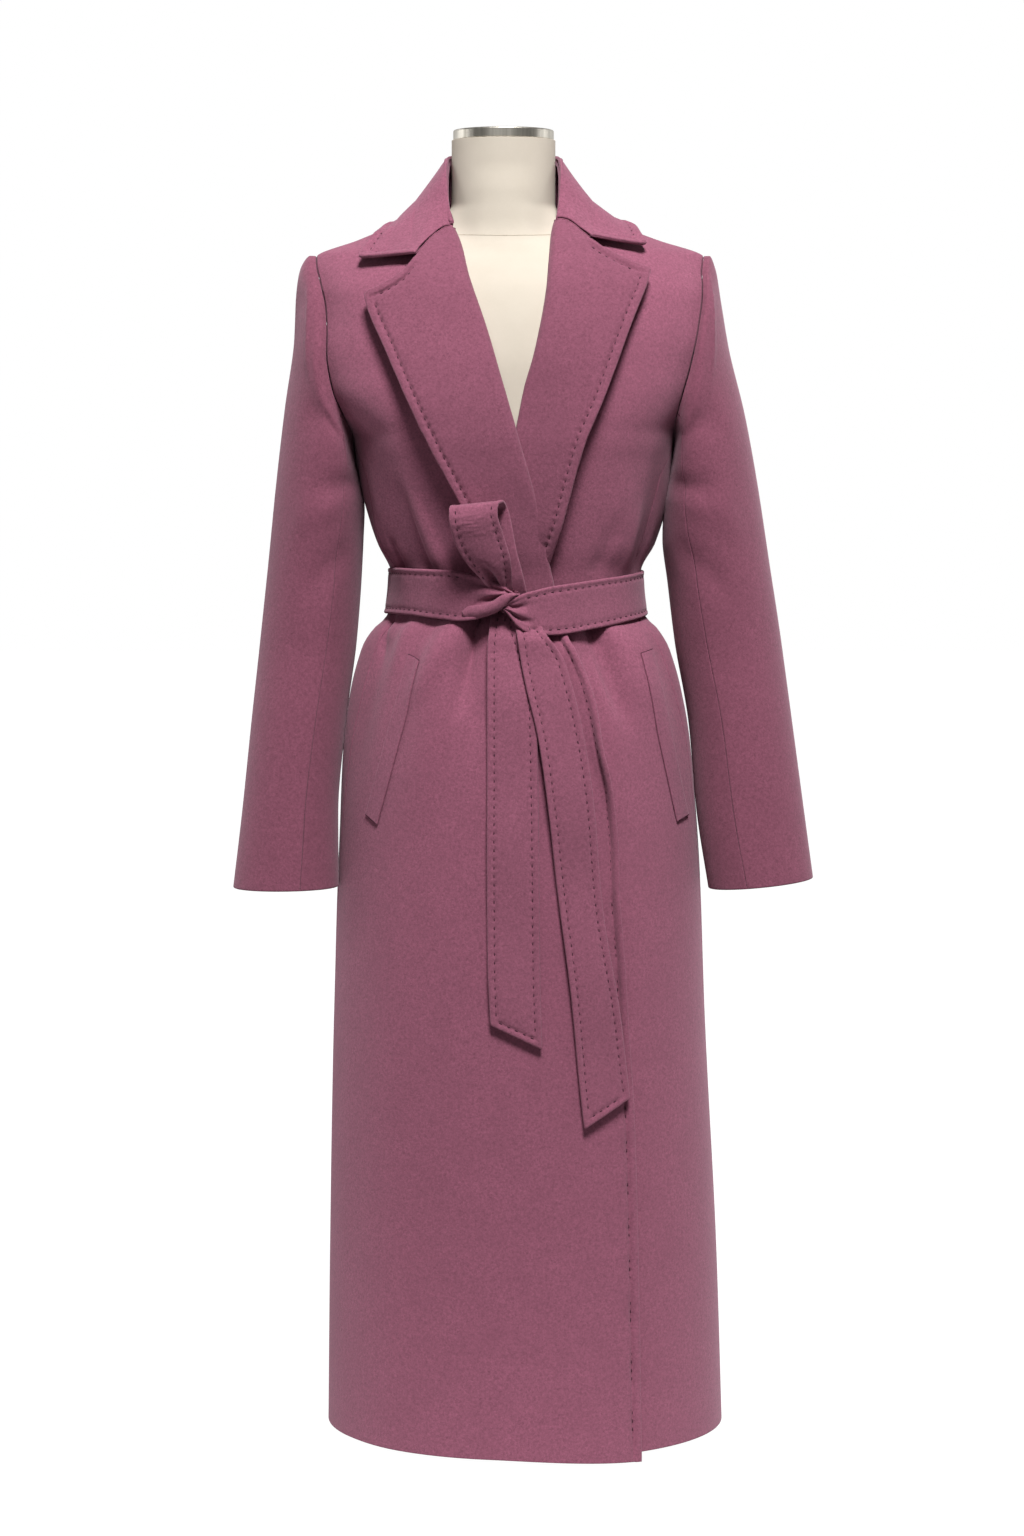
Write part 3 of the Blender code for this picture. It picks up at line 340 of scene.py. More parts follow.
def fold_height(angle, z):
    """How far the folds above and below the belt move the cloth out"""
    total = np.zeros(np.broadcast(angle, z).shape)
    for folds, away in ((SKIRT_FOLDS, BELT_Z - BELT_HALF - z), (BODICE_FOLDS, z - BELT_Z - BELT_HALF)):
        for middle, lean, width, height, reach in rows_of(folds):
            run = np.clip(away / reach, 0, 1)
            off = turned(angle, middle + lean * run) / np.radians(width)
            fade = step_up(away, 0.0, FOLD_START) * (1 - step_up(run, FOLD_HOLD, 1.0))
            total = total + height * bell(off) * fade
    return total


def body(angle, z, folds=True):
    """Outer face of the coat: angle 0 is the middle of the front, a quarter turn on is +X"""
    angle, z = np.broadcast_arrays(np.asarray(angle, float), np.asarray(z, float))
    half, front, back, x, square = (read(BODY, name, z) for name in ("half", "front", "back", "x", "square"))
    across, forward = np.sin(angle), np.cos(angle)
    power = 2 / square
    depth = np.where(forward > 0, front, back)
    points = np.stack([
        x + half * np.sign(across) * np.abs(across) ** power,
        -depth * np.sign(forward) * np.abs(forward) ** power,
        z,
    ], -1)
    if folds:
        way = unit(np.stack([across / half, -forward / depth, np.zeros_like(z)], -1))
        points = points + way * fold_height(angle, z)[..., None]
    return points


def plain_body(angle, z):
    return body(angle, z, folds=False)


def outward(surface, a, b, a_step=0.02, b_step=0.0015):
    """Unit normals of a surface that runs left to right with a and upward with b"""
    along = surface(a + a_step, b) - surface(a - a_step, b)
    up = surface(a, b + b_step) - surface(a, b - b_step)
    return unit(np.cross(along, up))


def angle_at(x, z, back=False):
    """Angle round the coat of a place seen from the front"""
    ratio = (x - read(BODY, "x", z)) / read(BODY, "half", z)
    across = np.sign(ratio) * np.clip(np.abs(ratio), 0, 1) ** (read(BODY, "square", z) / 2)
    angle = np.arcsin(across)
    return math.pi - angle if back else angle


def on_coat(place, back=False):
    """Angle round the coat and height of places given as x, z"""
    x, z = np.moveaxis(place, -1, 0)
    return angle_at(x, z, back), z


def flank(z, share):
    """Places at a share of the coat's half width, as x, z"""
    return np.stack([read(BODY, "x", z) + share * read(BODY, "half", z), z], -1)


def wrap_lift(angle, z):
    """How far the right front is lifted by what it lies over: the left front, and its lapel above"""
    lap = step_up(angle, *LAP_TURN)
    layer = WALL + LAP_AIR
    return lap * layer * (1 + step_up(z, *LAPEL_FOOT)) * (1 - step_up(z, *LAP_END))


def moved(surface, angle, z, lift):
    """Points of a surface moved out along its normals, with the normals"""
    normal = outward(surface, angle, z)
    return surface(angle, z) + normal * np.asarray(lift)[..., None], normal


def coons(bottom, top, inner, outer, s, t):
    """Patch between four sides, each an array of x, z pairs"""
    s = s[None, :, None]
    t = t[:, None, None]
    ruled = (1 - t) * bottom[None] + t * top[None] + (1 - s) * inner[:, None] + s * outer[:, None]
    low = (1 - s) * bottom[0] + s * bottom[-1]
    high = (1 - s) * top[0] + s * top[-1]
    return ruled - lerp(low, high, t)


# Rows lie closer towards the shoulders by this power
ROW_EASE = 1.7
# The shoulder seam lies this far, in radians, from the very side
RIDGE = 0.012
# The right front's hem drops towards its corner, between these angles
HEM_DROP = 0.009
HEM_DROP_TURN = (-0.2, 0.7)
# Share of the back's top edge that each shoulder takes
SHOULDER_SHARE = 0.30


def armhole_x(side, z, gap=0.0):
    return read(BODY, "x", z) + side * (read(ARMHOLE, "out", z) - gap)


def armhole_side(side, t):
    """The sewn armhole from armpit to shoulder tip as x, z"""
    z = lerp(ARMPIT_Z, TIP_Z, t)
    return np.stack([armhole_x(side, z, SEAM), z], -1)


def side_seam(z):
    return np.radians(read(SIDE_SEAM, "degrees", z))


def by_side(side, value):
    """What value gives for the right or the left, place by place"""
    return np.where(side == RIGHT, value(RIGHT), value(LEFT))


def neckline(side, far):
    """Inner edge of the coat's neck, on which the collar stands, from the back (0) to the gorge (1)"""
    reach = np.sin(QUARTER * np.clip(far / NECK_POINT_U, 0, 1))
    back_x = read(BODY, "x", NECK_Z) + side * reach * read(BODY, "half", NECK_Z)
    back_z = lerp(NAPE_Z, NECK_Z, reach * reach)
    front_z = lerp(NECK_Z, GORGE_Z, np.clip((far - NECK_POINT_U) / (1 - NECK_POINT_U), 0, 1))
    front_x = by_side(side, lambda which: read(INNER_EDGE[which], "x", front_z))
    at_back = far < NECK_POINT_U
    angle = np.where(at_back, angle_at(back_x, back_z, back=True), angle_at(front_x, front_z))
    z = np.where(at_back, back_z, front_z)
    points, _ = moved(plain_body, angle, z, np.full(z.shape, -WALL))
    points[..., 2] = z + 2 * SEAM
    return points


def collar_face(u, v):
    """Visible face of the collar: u from -1 (right end) to 1 (left end), v from seam to outer edge"""
    u, v = np.broadcast_arrays(np.asarray(u, float), np.asarray(v, float))
    far = np.clip(np.abs(u), 0, 1)
    side = np.where(u < 0, RIGHT, LEFT)
    seam = neckline(side, far)
    turn, out, height, roll = (read(COLLAR, name, far, "u") for name in ("turn", "out", "z", "roll"))
    turn = np.radians(turn)
    top = np.stack([NECK_X + side * out * np.sin(turn), out * np.cos(turn), height], -1)
    away = top - np.array([NECK_X, 0.0, 0.0])
    away[..., 2] = 0
    away = unit(away)
    up = np.array([0.0, 0.0, 1.0])
    angle, height, lift = (by_side(side, lambda which: read(COLLAR_EDGE[which], name, far, "u"))
                           for name in ("angle", "z", "lift"))
    rim, _ = moved(plain_body, side * np.radians(angle), height, lift)
    rolled = [roll[..., None] * (away * out - up * down)
              for out, down in zip(COLLAR_LINES["out"], COLLAR_LINES["down"])]
    stand, over = top + rolled[1], top + rolled[3]
    drop = lerp(over, rim, COLLAR_FALL[0]) + rolled[4]
    notch_x, notch_z = (by_side(side, lambda which: NOTCH[which][axis]) for axis in (0, 1))
    notch_z = notch_z + NOTCH_GAP
    notch, _ = moved(plain_body, angle_at(notch_x, notch_z), notch_z, np.full(u.shape, NOTCH_LIFT))
    drop = lerp(drop, notch, step_up(far, *COLLAR_TURN_IN)[..., None])
    lay = lerp(drop, rim, COLLAR_FALL[1]) + rolled[5]
    marks = COLLAR_LINES["share"]
    path = np.stack([seam, stand, top, over, drop, lay, rim])
    weights = [smooth(v, marks, np.eye(len(marks))[k]) for k in range(len(marks))]
    weights = np.stack(weights) / np.sum(weights, axis=0)
    return np.sum(path * weights[..., None], axis=0)


def sleeve_ring(turn, inner_x, inner_z, outer_x, outer_z, depth, y):
    """A slanted ellipse through an inner and an outer point"""
    return np.stack([
        (inner_x + outer_x) / 2 + np.cos(turn) * (outer_x - inner_x) / 2,
        y - np.sin(turn) * depth,
        (inner_z + outer_z) / 2 + np.cos(turn) * (outer_z - inner_z) / 2,
    ], -1)


def sleeve_face(side, turn, v):
    """Outer face of a sleeve: turn 0 is its outside, a quarter turn its front; v 0 is the armhole"""
    rows = SLEEVE[side]
    turn, v = np.broadcast_arrays(np.asarray(turn, float), np.asarray(v, float))
    known = np.linspace(0, 1, len(rows["y"]))
    *sizes, keep = (smooth(v, known, column) for column in rows.values())
    share = (1 + np.cos(turn)) / 2
    hole_z = lerp(ARMPIT_Z, TIP_Z, share)
    front_angle = angle_at(armhole_x(side, hole_z), hole_z)
    at_front = np.sin(turn) >= 0
    hole = plain_body(np.where(at_front, front_angle, math.pi - front_angle), hole_z)
    *starts, _ = (column[0] for column in rows.values())
    return sleeve_ring(turn, *sizes) + keep[..., None] * (hole - sleeve_ring(turn, *starts))


# The sleeve's two long seams at armhole and cuff, and the radius by which their gap is turned to an angle
SLEEVE_RADIUS = 0.050
FRONT_SEAM = (math.radians(140), math.radians(108))
BACK_SEAM = (math.radians(232), math.radians(246))

# Finer cloth than in the solids: turned edges and sewing
PANEL_WALL = 0.0026
TRIM_WALL = 0.0032
SEAM_ROUND = 0.0010
WELT_ROUND = 0.0008
RIM_SHARE = 0.49
CORNER_ROUND = 0.0065
TAIL_ROUND = 0.0030
STITCH_IN = 0.0088
STITCH_PITCH = 0.0085
STITCH_HALF = 0.0018
STITCH_RADIUS = 0.00062
STITCH_SINK = 0.7
# A stitch by its rings: place along it, thickness, height
STITCH = table("=along =thick sunk", """
    -1 0.25 -0.45, -0.8 0.8 -0.12, -0.4 1 0.06, 0.4 1 0.06, 0.8 0.8 -0.12, 1 0.25 -0.45""")
SIDES = 6
SPIN = np.radians(np.arange(0, 360, 360 / SIDES))
DIMPLE = 0.0017
DIMPLE_WIDE = 0.0026
DIMPLE_REACH = 2
PUFF = 0.0011
PUFF_RAMP = (0.0030, 0.0004)
GROOVE = 0.0006
GROOVE_WIDE = 0.0014
# Sewing of each piece: its distance from the edge and how strongly it shows
SEWING = {"belt_band": (0.0056, 0.45), "belt_tail_left": (0.0070, 0.65), "belt_tail_right": (0.0070, 0.65),
          "belt_loop": (0.0064, 0.40), "front_right": (0.0088, 1.30)}
NOT_SEWN = 1.0
# Distances from an edge at which a grid has lines: a plain edge, a turned one, a sewn one
EDGE_PLAIN = (0.0, 0.0010)
EDGE_FINE = (0.0, 0.0002, 0.0006, 0.0012, 0.0022, 0.0045)
EDGE_SEWN = (0.0, 0.0002, 0.0006, 0.0012, 0.0022, 0.0036, 0.0052, 0.0066, 0.0078, 0.0088, 0.0098, 0.0110,
             0.0130)
ALL_EDGES = ("start", "end", "first", "last")
BELT_RIMS = dict.fromkeys(ALL_EDGES, BELT_WALL / 2)
FRONT_CLOTH = {RIGHT: "front_right_cloth", LEFT: "front_left_cloth"}

# Small creases of the fronts and back: from one place to another, in degrees round and height
CREASES = table("=angle0 z0 =angle1 z1 width height", """
    -39 892 -45 990 12 -5, -31.5 892 -40.5 990 7.5 5, -62 892 -60 930 5.5 -5, -72 895 -70 960 10 3.6,
    72 892 66 990 9 -3, 56 892 54 970 12 3.4, 38 892 45 970 12 -2.6, -14.5 868 -20 745 7.5 -16,
    -20 866 -38 750 12.5 8, -70 850 -60 795 6.5 -4.2, -46 848 -50 780 11 3, 30.5 862 39.5 735 10 -17,
    43 846 54 725 18 4, -92 900 -92 1085 30 2.4, 92 915 92 1080 30 1.8, -92 960 -92 1100 30 1.6,
    92 960 92 1100 30 2, 150 892 143 980 12 -3.4, 205 892 213 970 11 -3.2, 178 892 181 955 10 2.8,
    120 846 115 770 11 -3.4, 168 846 164 760 12 -3.2, 196 846 201 765 11 3, 238 846 244 780 11 -3.4,
    140 1060 126 1120 14 -2.6, 221 1055 236 1115 14 -2.6""")
CREASE_SPAN = {"low": (-0.10, 0.20), "high": (0.45, 1.05)}
CREASE_RADIUS = 0.140
# How far the belt draws the cloth in
CINCH = 0.0016
CINCH_WIDE = 0.0200
FORM_CLEAR = 0.0006
FORM_SLIM = {"deep": 0.0090, "low": (0.690, 0.750), "high": (0.852, 0.880)}
# Creases of the sleeves: turn in degrees and share of the length at both ends
SLEEVE_CREASES = table("=turn0 =v0 =turn1 =v1 =width height", """
    128 0.3 60 0.44 0.03 -3,
    150 0.4 82 0.53 0.028 -3.4,
    120 0.5 58 0.58 0.03 2.8,
    140 0.58 80 0.66 0.03 -2.8,
    230 0.42 290 0.52 0.034 -3,
    236 0.52 300 0.6 0.034 2.8,
    40 0.16 70 0.34 0.032 2.4,
    -30 0.15 -52 0.34 0.034 -2.4,
    140 0.07 220 0.07 0.08 1""")
SLEEVE_CREASE_END = (0.35, 1.25)
# The wrap edge beside the long tail: a roll, a lower ridge further down, and how far it swings out
EDGE_ROLL = {"height": 0.0078, "at": 0.0015, "width": 0.0062, "low": (0.640, 0.720), "high": (0.812, 0.838)}
EDGE_RIDGE = {"height": 0.0062, "at": 0.0, "width": 0.0044, "low": (0.390, 0.520), "high": (0.740, 0.800)}
EDGE_SWING = {"far": 0.0050, "width": 0.040, "low": (0.560, 0.650), "high": (0.770, 0.835)}
HEM_ROW = 0.180
# Grids of the large panels: heights below the armpit as start, end and step, then counts
FRONT_GRID = {"levels": ((0.029, 0.60, 0.0070), (0.60, 1.026, 0.0042)),
              "coarse": 50, "columns": 62, "rows": 64}
BACK_GRID = {"levels": ((0.030, 0.60, 0.0090), (0.60, 1.025, 0.0055)),
             "coarse": 60, "columns": 88, "rows": 50}

# What was made of each sheet, by the solid that it stands for
CUTS = {}


def slimmer(z):
    """How far the form stays further inside the coat under the belt, where the folds are deep"""
    return FORM_SLIM["deep"] * between(z, FORM_SLIM)


def crease_height(angle, z):
    """How far the small creases move the cloth out"""
    total = np.zeros(np.broadcast(angle, z).shape)
    for angle0, z0, angle1, z1, width, height in rows_of(CREASES):
        run = (z - z0) / (z1 - z0)
        off = turned(angle, lerp(angle0, angle1, np.clip(run, 0, 1))) * CREASE_RADIUS / width
        total = total + height * bell(off) * between(run, CREASE_SPAN)
    return total


def coat(angle, z):
    """Outer face of the coat with its folds and small creases"""
    angle, z = np.broadcast_arrays(np.asarray(angle, float), np.asarray(z, float))
    way = np.stack([np.sin(angle), -np.cos(angle), np.zeros_like(z)], -1)
    folds = fold_height(angle, z)
    deep = folds + crease_height(angle, z) - CINCH * bell((z - BELT_Z) / CINCH_WIDE)
    room = read(FORM_AIR, "air", z) + slimmer(z) - FORM_CLEAR
    deep = np.where(deep < 0, -room * np.tanh(-deep / room), deep)
    return body(angle, z) + way * (deep - folds)[..., None]


def columns(length, first, last, count):
    """Shares across rows of the given lengths: set distances near both edges, even between them"""
    length = np.atleast_1d(length)[:, None]
    head = np.array(first)[None] / length
    tail = 1 - np.array(last)[None, ::-1] / length
    middle = lerp(head[:, -1:], tail[:, :1], np.linspace(0, 1, count + 2)[None, 1:-1])
    return np.concatenate([head, middle, tail], 1)


def row_lengths(points):
    return np.linalg.norm(np.diff(points, axis=1), axis=-1).sum(1)


def grid_normals(points, flip):
    return unit(np.cross(np.gradient(points, axis=1), np.gradient(points, axis=0)) * flip, TINY)


def edge_distances(points):
    """Distance of each place of a grid from its four edges, along the grid"""
    across = np.linalg.norm(np.diff(points, axis=1), axis=-1)
    start = np.pad(np.cumsum(across, 1), ((0, 0), (1, 0)))
    down = np.linalg.norm(np.diff(points, axis=0), axis=-1)
    first = np.pad(np.cumsum(down, 0), ((1, 0), (0, 0)))
    return {"start": start, "end": start[:, -1:] - start, "first": first, "last": first[-1:] - first}


def mesh_object(name, verts, faces, look):
    """A smooth mesh on the part's only body"""
    mesh = bpy.data.meshes.new(name)
    mesh.from_pydata(verts.tolist(), [], faces)
    mesh.shade_smooth()
    mesh.materials.append(look)
    made = bpy.data.objects.new(name, mesh)
    bpy.context.scene.collection.objects.link(made)
    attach(made, "root")
    return made


def shell_faces(rows, cols, flip):
    """Faces of both sides and the rim of a closed shell over a grid"""
    number = np.arange(rows * cols).reshape(rows, cols)
    quads = np.stack([number[:-1, :-1], number[:-1, 1:], number[1:, 1:], number[1:, :-1]], -1).reshape(-1, 4)
    rim = np.concatenate([number[0], number[1:, -1], number[-1, -2::-1], number[-2:0:-1, 0]])
    after = np.roll(rim, -1)
    sides = np.stack([after, rim, rim + number.size, after + number.size], -1)
    faces = np.concatenate([quads, quads[:, ::-1] + number.size, sides])
    return (faces if flip > 0 else faces[:, ::-1]).tolist()


def ring_faces(number):
    """Faces of a closed form through rings of numbered places, with both ends"""
    beside = np.roll(number, -1, axis=1)
    quads = np.stack([number[:-1], beside[:-1], beside[1:], number[1:]], -1).reshape(-1, 4).tolist()
    return quads + [number[0, ::-1].tolist(), number[-1].tolist()]


def rounded(points, corners, radius):
    """A grid with the given corners, each a pair of edges, drawn in to an arc"""
    far = edge_distances(points)
    along, down = (unit(np.gradient(points, axis=axis), TINY) for axis in (1, 0))
    inward = {"start": along, "end": -along, "first": down, "last": -down}
    for pair in corners:
        near = [np.clip(1 - far[edge] / radius, 0, 1) for edge in pair]
        share = radius * (1 - np.maximum(*near) / np.maximum(np.hypot(*near), TINY))
        for edge, close in zip(pair, near):
            points = points + (share * close)[..., None] * inward[edge]
    return points


def cloth(node, points, wall, rims, look, flip=1, sewn=None, held="draped", rests=("form_torso",)):
    """A thin shell inward from a grid, with rounded edges, which stands for a solid of the same name"""
    normal, far = grid_normals(points, flip), edge_distances(points)
    drop = np.zeros(points.shape[:2])
    for edge, radius in rims.items():
        into = np.clip(radius - far[edge], 0, radius)
        drop = np.maximum(drop, radius - np.sqrt(radius * radius - into * into))
    drop = np.minimum(drop, RIM_SHARE * wall)
    raised = np.zeros_like(drop)
    inset, strength = SEWING.get(node, (STITCH_IN, 1.0))
    if sewn is not None:
        near = sewn(far)
        puff = PUFF * (1 - step_up(near, inset - PUFF_RAMP[0], inset - PUFF_RAMP[1]))
        raised = strength * (puff - GROOVE * bell((near - inset) / GROOVE_WIDE))
    outer = points + normal * (raised - drop)[..., None]
    inner = points - normal * (wall - drop)[..., None]
    verts = np.concatenate([outer.reshape(-1, 3), inner.reshape(-1, 3)])
    piece = mesh_object(node + "_cloth", verts, shell_faces(*points.shape[:2], flip), look)
    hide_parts(node)
    corner = points[1:, 1:] - points[:-1, :-1]
    other = points[1:, :-1] - points[:-1, 1:]
    area = float(np.linalg.norm(np.cross(corner, other), axis=-1).sum() / 2)
    width, length = float(far["start"].max()), float(far["first"].max())
    CUTS[node] = {"piece": piece, "flat": (width, length), "area": min(area, width * length), "held": held,
                  "rests": list(rests), "with": []}
    return {"outer": outer, "normal": normal, "far": far, "piece": piece, "inset": inset,
            "dimple": DIMPLE * strength}


def along_line(place, gone, values):
    return np.array([np.interp(place, gone, column) for column in values.T])


def seam_points(made, edge, keep):
    """Points and normals along a line of sewing beside one edge of a grid"""
    lines = []
    for k in np.nonzero(keep)[0]:
        pick = (k, slice(None)) if edge in ("start", "end") else (slice(None), k)
        away = made["far"][edge][pick]
        order = np.argsort(away)
        both = np.concatenate([made["outer"][pick], made["normal"][pick]], -1)[order]
        lines.append(along_line(made["inset"], away[order], both))
    lines = np.array(lines)
    return lines[:, :3], lines[:, 3:]


def add_stitches(node, made, keeps):
    """Small threads beside some edges, over the stretches kept of each, with a dimple under each thread"""
    verts, faces = [], []
    number = np.arange(len(STITCH["along"]) * SIDES).reshape(-1, SIDES)
    places = made["outer"].reshape(-1, 3)
    near = kdtree.KDTree(len(places))
    for index, place in enumerate(places):
        near.insert(place, index)
    near.balance()
    mesh = made["piece"].data
    ends = (0, -STITCH_HALF, STITCH_HALF)
    for edge, keep in keeps.items():
        points, normals = seam_points(made, edge, keep)
        gone = np.concatenate([[0], np.cumsum(np.linalg.norm(np.diff(points, axis=0), axis=1))])
        for place in np.arange(STITCH_PITCH / 2, gone[-1] - STITCH_HALF, STITCH_PITCH):
            middle, back, ahead = (along_line(place + end, gone, points) for end in ends)
            way = unit(ahead - back)
            up = along_line(place, gone, normals)
            up = unit(up - way * (up @ way))
            spokes = np.outer(np.cos(SPIN), np.cross(way, up)) + np.outer(np.sin(SPIN), up)
            for _, vertex, off in near.find_range(middle, DIMPLE_REACH * DIMPLE_WIDE):
                mesh.vertices[vertex].co -= Vector(up * made["dimple"] * bell(off / DIMPLE_WIDE))
            core = middle + np.outer(STITCH["along"] * STITCH_HALF, way)
            core = core + np.outer(STITCH["sunk"] - STITCH_SINK * made["dimple"], up)
            rings = core[:, None] + (STITCH_RADIUS * STITCH["thick"])[:, None, None] * spokes[None]
            faces += ring_faces(number + number.size * len(verts))
            verts.append(rings.reshape(-1, 3))
    sewing = mesh_object(node + "_sewing", np.concatenate(verts), faces, THREAD)
    CUTS[node]["with"].append(sewing)


def add_cords(name, lines, radius, look, node=None):
    """Thin round cords along lines of points with the ways up for them, to go with the sheet of a node"""
    verts, faces = [], []
    base = 0
    for points, up in lines:
        side = unit(np.cross(np.gradient(points, axis=0), up))
        spokes = np.cos(SPIN)[None, :, None] * side[:, None] + np.sin(SPIN)[None, :, None] * up[:, None]
        verts.append((points[:, None] + radius * spokes).reshape(-1, 3))
        number = base + np.arange(len(points) * SIDES).reshape(-1, SIDES)
        faces += ring_faces(number)
        base += number.size
    cord = mesh_object(name, np.concatenate(verts), faces, look)
    if node:
        CUTS[node]["with"].append(cord)


# How far the sewn armhole lies beside the solid's at the front, by height
ARMHOLE_MOVE = {
    RIGHT: table("z x", """
        1030 0, 1054 -4, 1071 -6.2, 1098 -4.8, 1112 -2, 1133 3.4, 1160 6.6, 1177 4.5, 1191 2, 1210 -1"""),
    LEFT: table("z x", """
        1030 0, 1045 -2, 1065 -2.4, 1100 -1, 1150 -1.8, 1180 -2.2, 1195 -4, 1210 -6"""),
}
ARMHOLE_WIDE = 0.028
ARMHOLE_FRONT = (0.0, 0.030)


def armhole_moved(points, side):
    """Points near an armhole moved to its sewn line at the front"""
    x, y, z = np.moveaxis(points, -1, 0)
    near = bell((x - armhole_x(side, z)) / ARMHOLE_WIDE) * step_up(-y, *ARMHOLE_FRONT)
    shift = np.zeros_like(points)
    shift[..., 0] = near * read(ARMHOLE_MOVE[side], "x", z)
    return points + shift


def panel_levels(grid):
    """Heights of a panel's rows from the hem to the armpit"""
    spans = [np.arange(*span) for span in grid["levels"]]
    return np.concatenate([HEM_Z + np.array(EDGE_FINE), *spans, [ARMPIT_Z]])


def low_panel(first, last, levels, near_first, grid):
    """Shares across, angles and heights of a panel below the armpit, between two lines of angles"""
    first, last, levels = first[:, None], last[:, None], levels[:, None]
    coarse = lerp(first, last, np.linspace(0, 1, grid["coarse"])[None])
    share = columns(row_lengths(plain_body(coarse, levels)), near_first, EDGE_FINE, grid["columns"])
    return share[-1], lerp(first, last, share), np.repeat(levels, share.shape[1], 1)


def high_panel(angle_low, top, sides, s, t, back=False):
    """Angles and heights of a panel from the armpit up to its top edge"""
    bottom = np.stack([plain_body(angle_low[-1], ARMPIT_Z)[:, 0], np.full(len(s), ARMPIT_Z)], -1)
    patch = coons(bottom, top, *sides, s, t)[1:]
    return on_coat(patch, back)


def row_shares(count):
    return 1 - (1 - np.linspace(0, 1, count)) ** ROW_EASE


def front_points(side):
    """Places over one front, from its inner edge to the side seam and armhole"""
    edge = INNER_EDGE[side]
    levels = panel_levels(FRONT_GRID)
    inner = angle_at(read(edge, "x", levels), levels)
    outer = side * (side_seam(levels) - SEAM / 2 / read(BODY, "front", levels))
    near_edge = EDGE_SEWN if side == RIGHT else EDGE_FINE
    s, angle_low, z_low = low_panel(inner, outer, levels, near_edge, FRONT_GRID)
    if side == RIGHT:
        fade = np.clip((HEM_ROW - z_low) / (HEM_ROW - HEM_Z), 0, 1)
        z_low = z_low - HEM_DROP * step_up(angle_low, *HEM_DROP_TURN) * fade
    t = row_shares(FRONT_GRID["rows"])
    rise, fall = lerp(ARMPIT_Z, NECK_Z, t), lerp(NECK_Z, TIP_Z, s)
    sides = np.stack([read(edge, "x", rise), rise], -1), armhole_side(side, t)
    angle_high, z_high = high_panel(angle_low, flank(fall, side), sides, s, t)
    angle_high[-1] = side * (QUARTER - RIDGE)
    angle, z = np.concatenate([angle_low, angle_high]), np.concatenate([z_low, z_high])
    lift = np.zeros_like(z)
    if side == RIGHT:
        away = edge_distances(plain_body(angle, z))["start"]
        lift = wrap_lift(angle, z)
        for rim in (EDGE_ROLL, EDGE_RIDGE):
            lift = lift + rim["height"] * bell((away - rim["at"]) / rim["width"]) * between(z, rim)
        swing = EDGE_SWING["far"] * bell(away / EDGE_SWING["width"]) * between(z, EDGE_SWING)
        angle = angle + swing / (read(BODY, "half", z) * np.cos(angle))
    return armhole_moved(moved(coat, angle, z, lift)[0], side)


def back_points():
    """Places over the back, from the left side seam to the right one"""
    levels = panel_levels(BACK_GRID)
    start = side_seam(levels) + SEAM / 2 / read(BODY, "front", levels)
    s, angle_low, z_low = low_panel(start, 2 * math.pi - start, levels, EDGE_FINE, BACK_GRID)
    t = row_shares(BACK_GRID["rows"])
    from_side = np.minimum(s, 1 - s)
    across = np.clip((s - SHOULDER_SHARE) / (1 - 2 * SHOULDER_SHARE), 0, 1)
    fall = lerp(TIP_Z, NECK_Z, np.clip(from_side / SHOULDER_SHARE, 0, 1))
    neck = np.cos(math.pi * across)
    width = np.where(from_side < SHOULDER_SHARE, np.sign(0.5 - s), neck)
    top = flank(fall, width)
    top[:, 1] += (NAPE_Z - NECK_Z) * (1 - neck * neck)
    sides = [armhole_side(side, t) for side in (LEFT, RIGHT)]
    angle_high, z_high = high_panel(angle_low, top, sides, s, t, back=True)
    on_shoulder = from_side <= SHOULDER_SHARE + CLOSE
    angle_high[-1][on_shoulder] = np.where(s < 0.5, QUARTER + RIDGE, 3 * QUARTER - RIDGE)[on_shoulder]
    return coat(np.concatenate([angle_low, angle_high]), np.concatenate([z_low, z_high]))


# The lapels' roll, how far they reach under the belt, and their grid
ROLL_ROUND = 0.0038
ROLL_BACK = 0.0034
ROLL_STEPS = 8
LAPEL_TUCK = 0.0160
LAPEL_GRID = {"rows": 160, "foot": (0.0, 0.0015), "columns": 26, "roll": (0.0, 0.0020)}
# Top edge of each lapel from the roll line to the point, by share across; it is free past LAPEL_FREE
LAPEL_TOP = {
    RIGHT: table("=share x z", """
        0 -59 1232.8, 0.1 -64.9 1230.6, 0.21 -74.4 1222.9, 0.32 -81.7 1214.2, 0.42 -87.6 1206.9,
        0.5 -91.9 1200.3, 0.57 -99 1191.3, 0.65 -105.2 1183.2, 0.76 -114.1 1176.9, 0.86 -123.8 1171.8,
        0.95 -134.9 1167.5, 1 -141.1 1164.3"""),
    LEFT: table("=share x z", """
        0 44.6 1240.7, 0.12 52.4 1237.7, 0.24 60.5 1231, 0.37 67.9 1223.1, 0.47 73.5 1217.4,
        0.51 75.4 1215.7, 0.6 84.7 1209.1, 0.7 94 1202.3, 0.79 103.3 1197.1, 0.89 115.2 1191.6,
        0.96 125.4 1188.2, 1 133.7 1185.1"""),
}
LAPEL_FREE = 0.52
# How far each lapel's edge stands off, low and high, and the heights between which that grows and changes
LAPEL_STAND = {RIGHT: (0.0145, 0.0090), LEFT: (0.0150, 0.0090)}
LAPEL_STAND_FROM = (0.885, 0.950)
LAPEL_STAND_CHANGE = (1.02, 1.20)


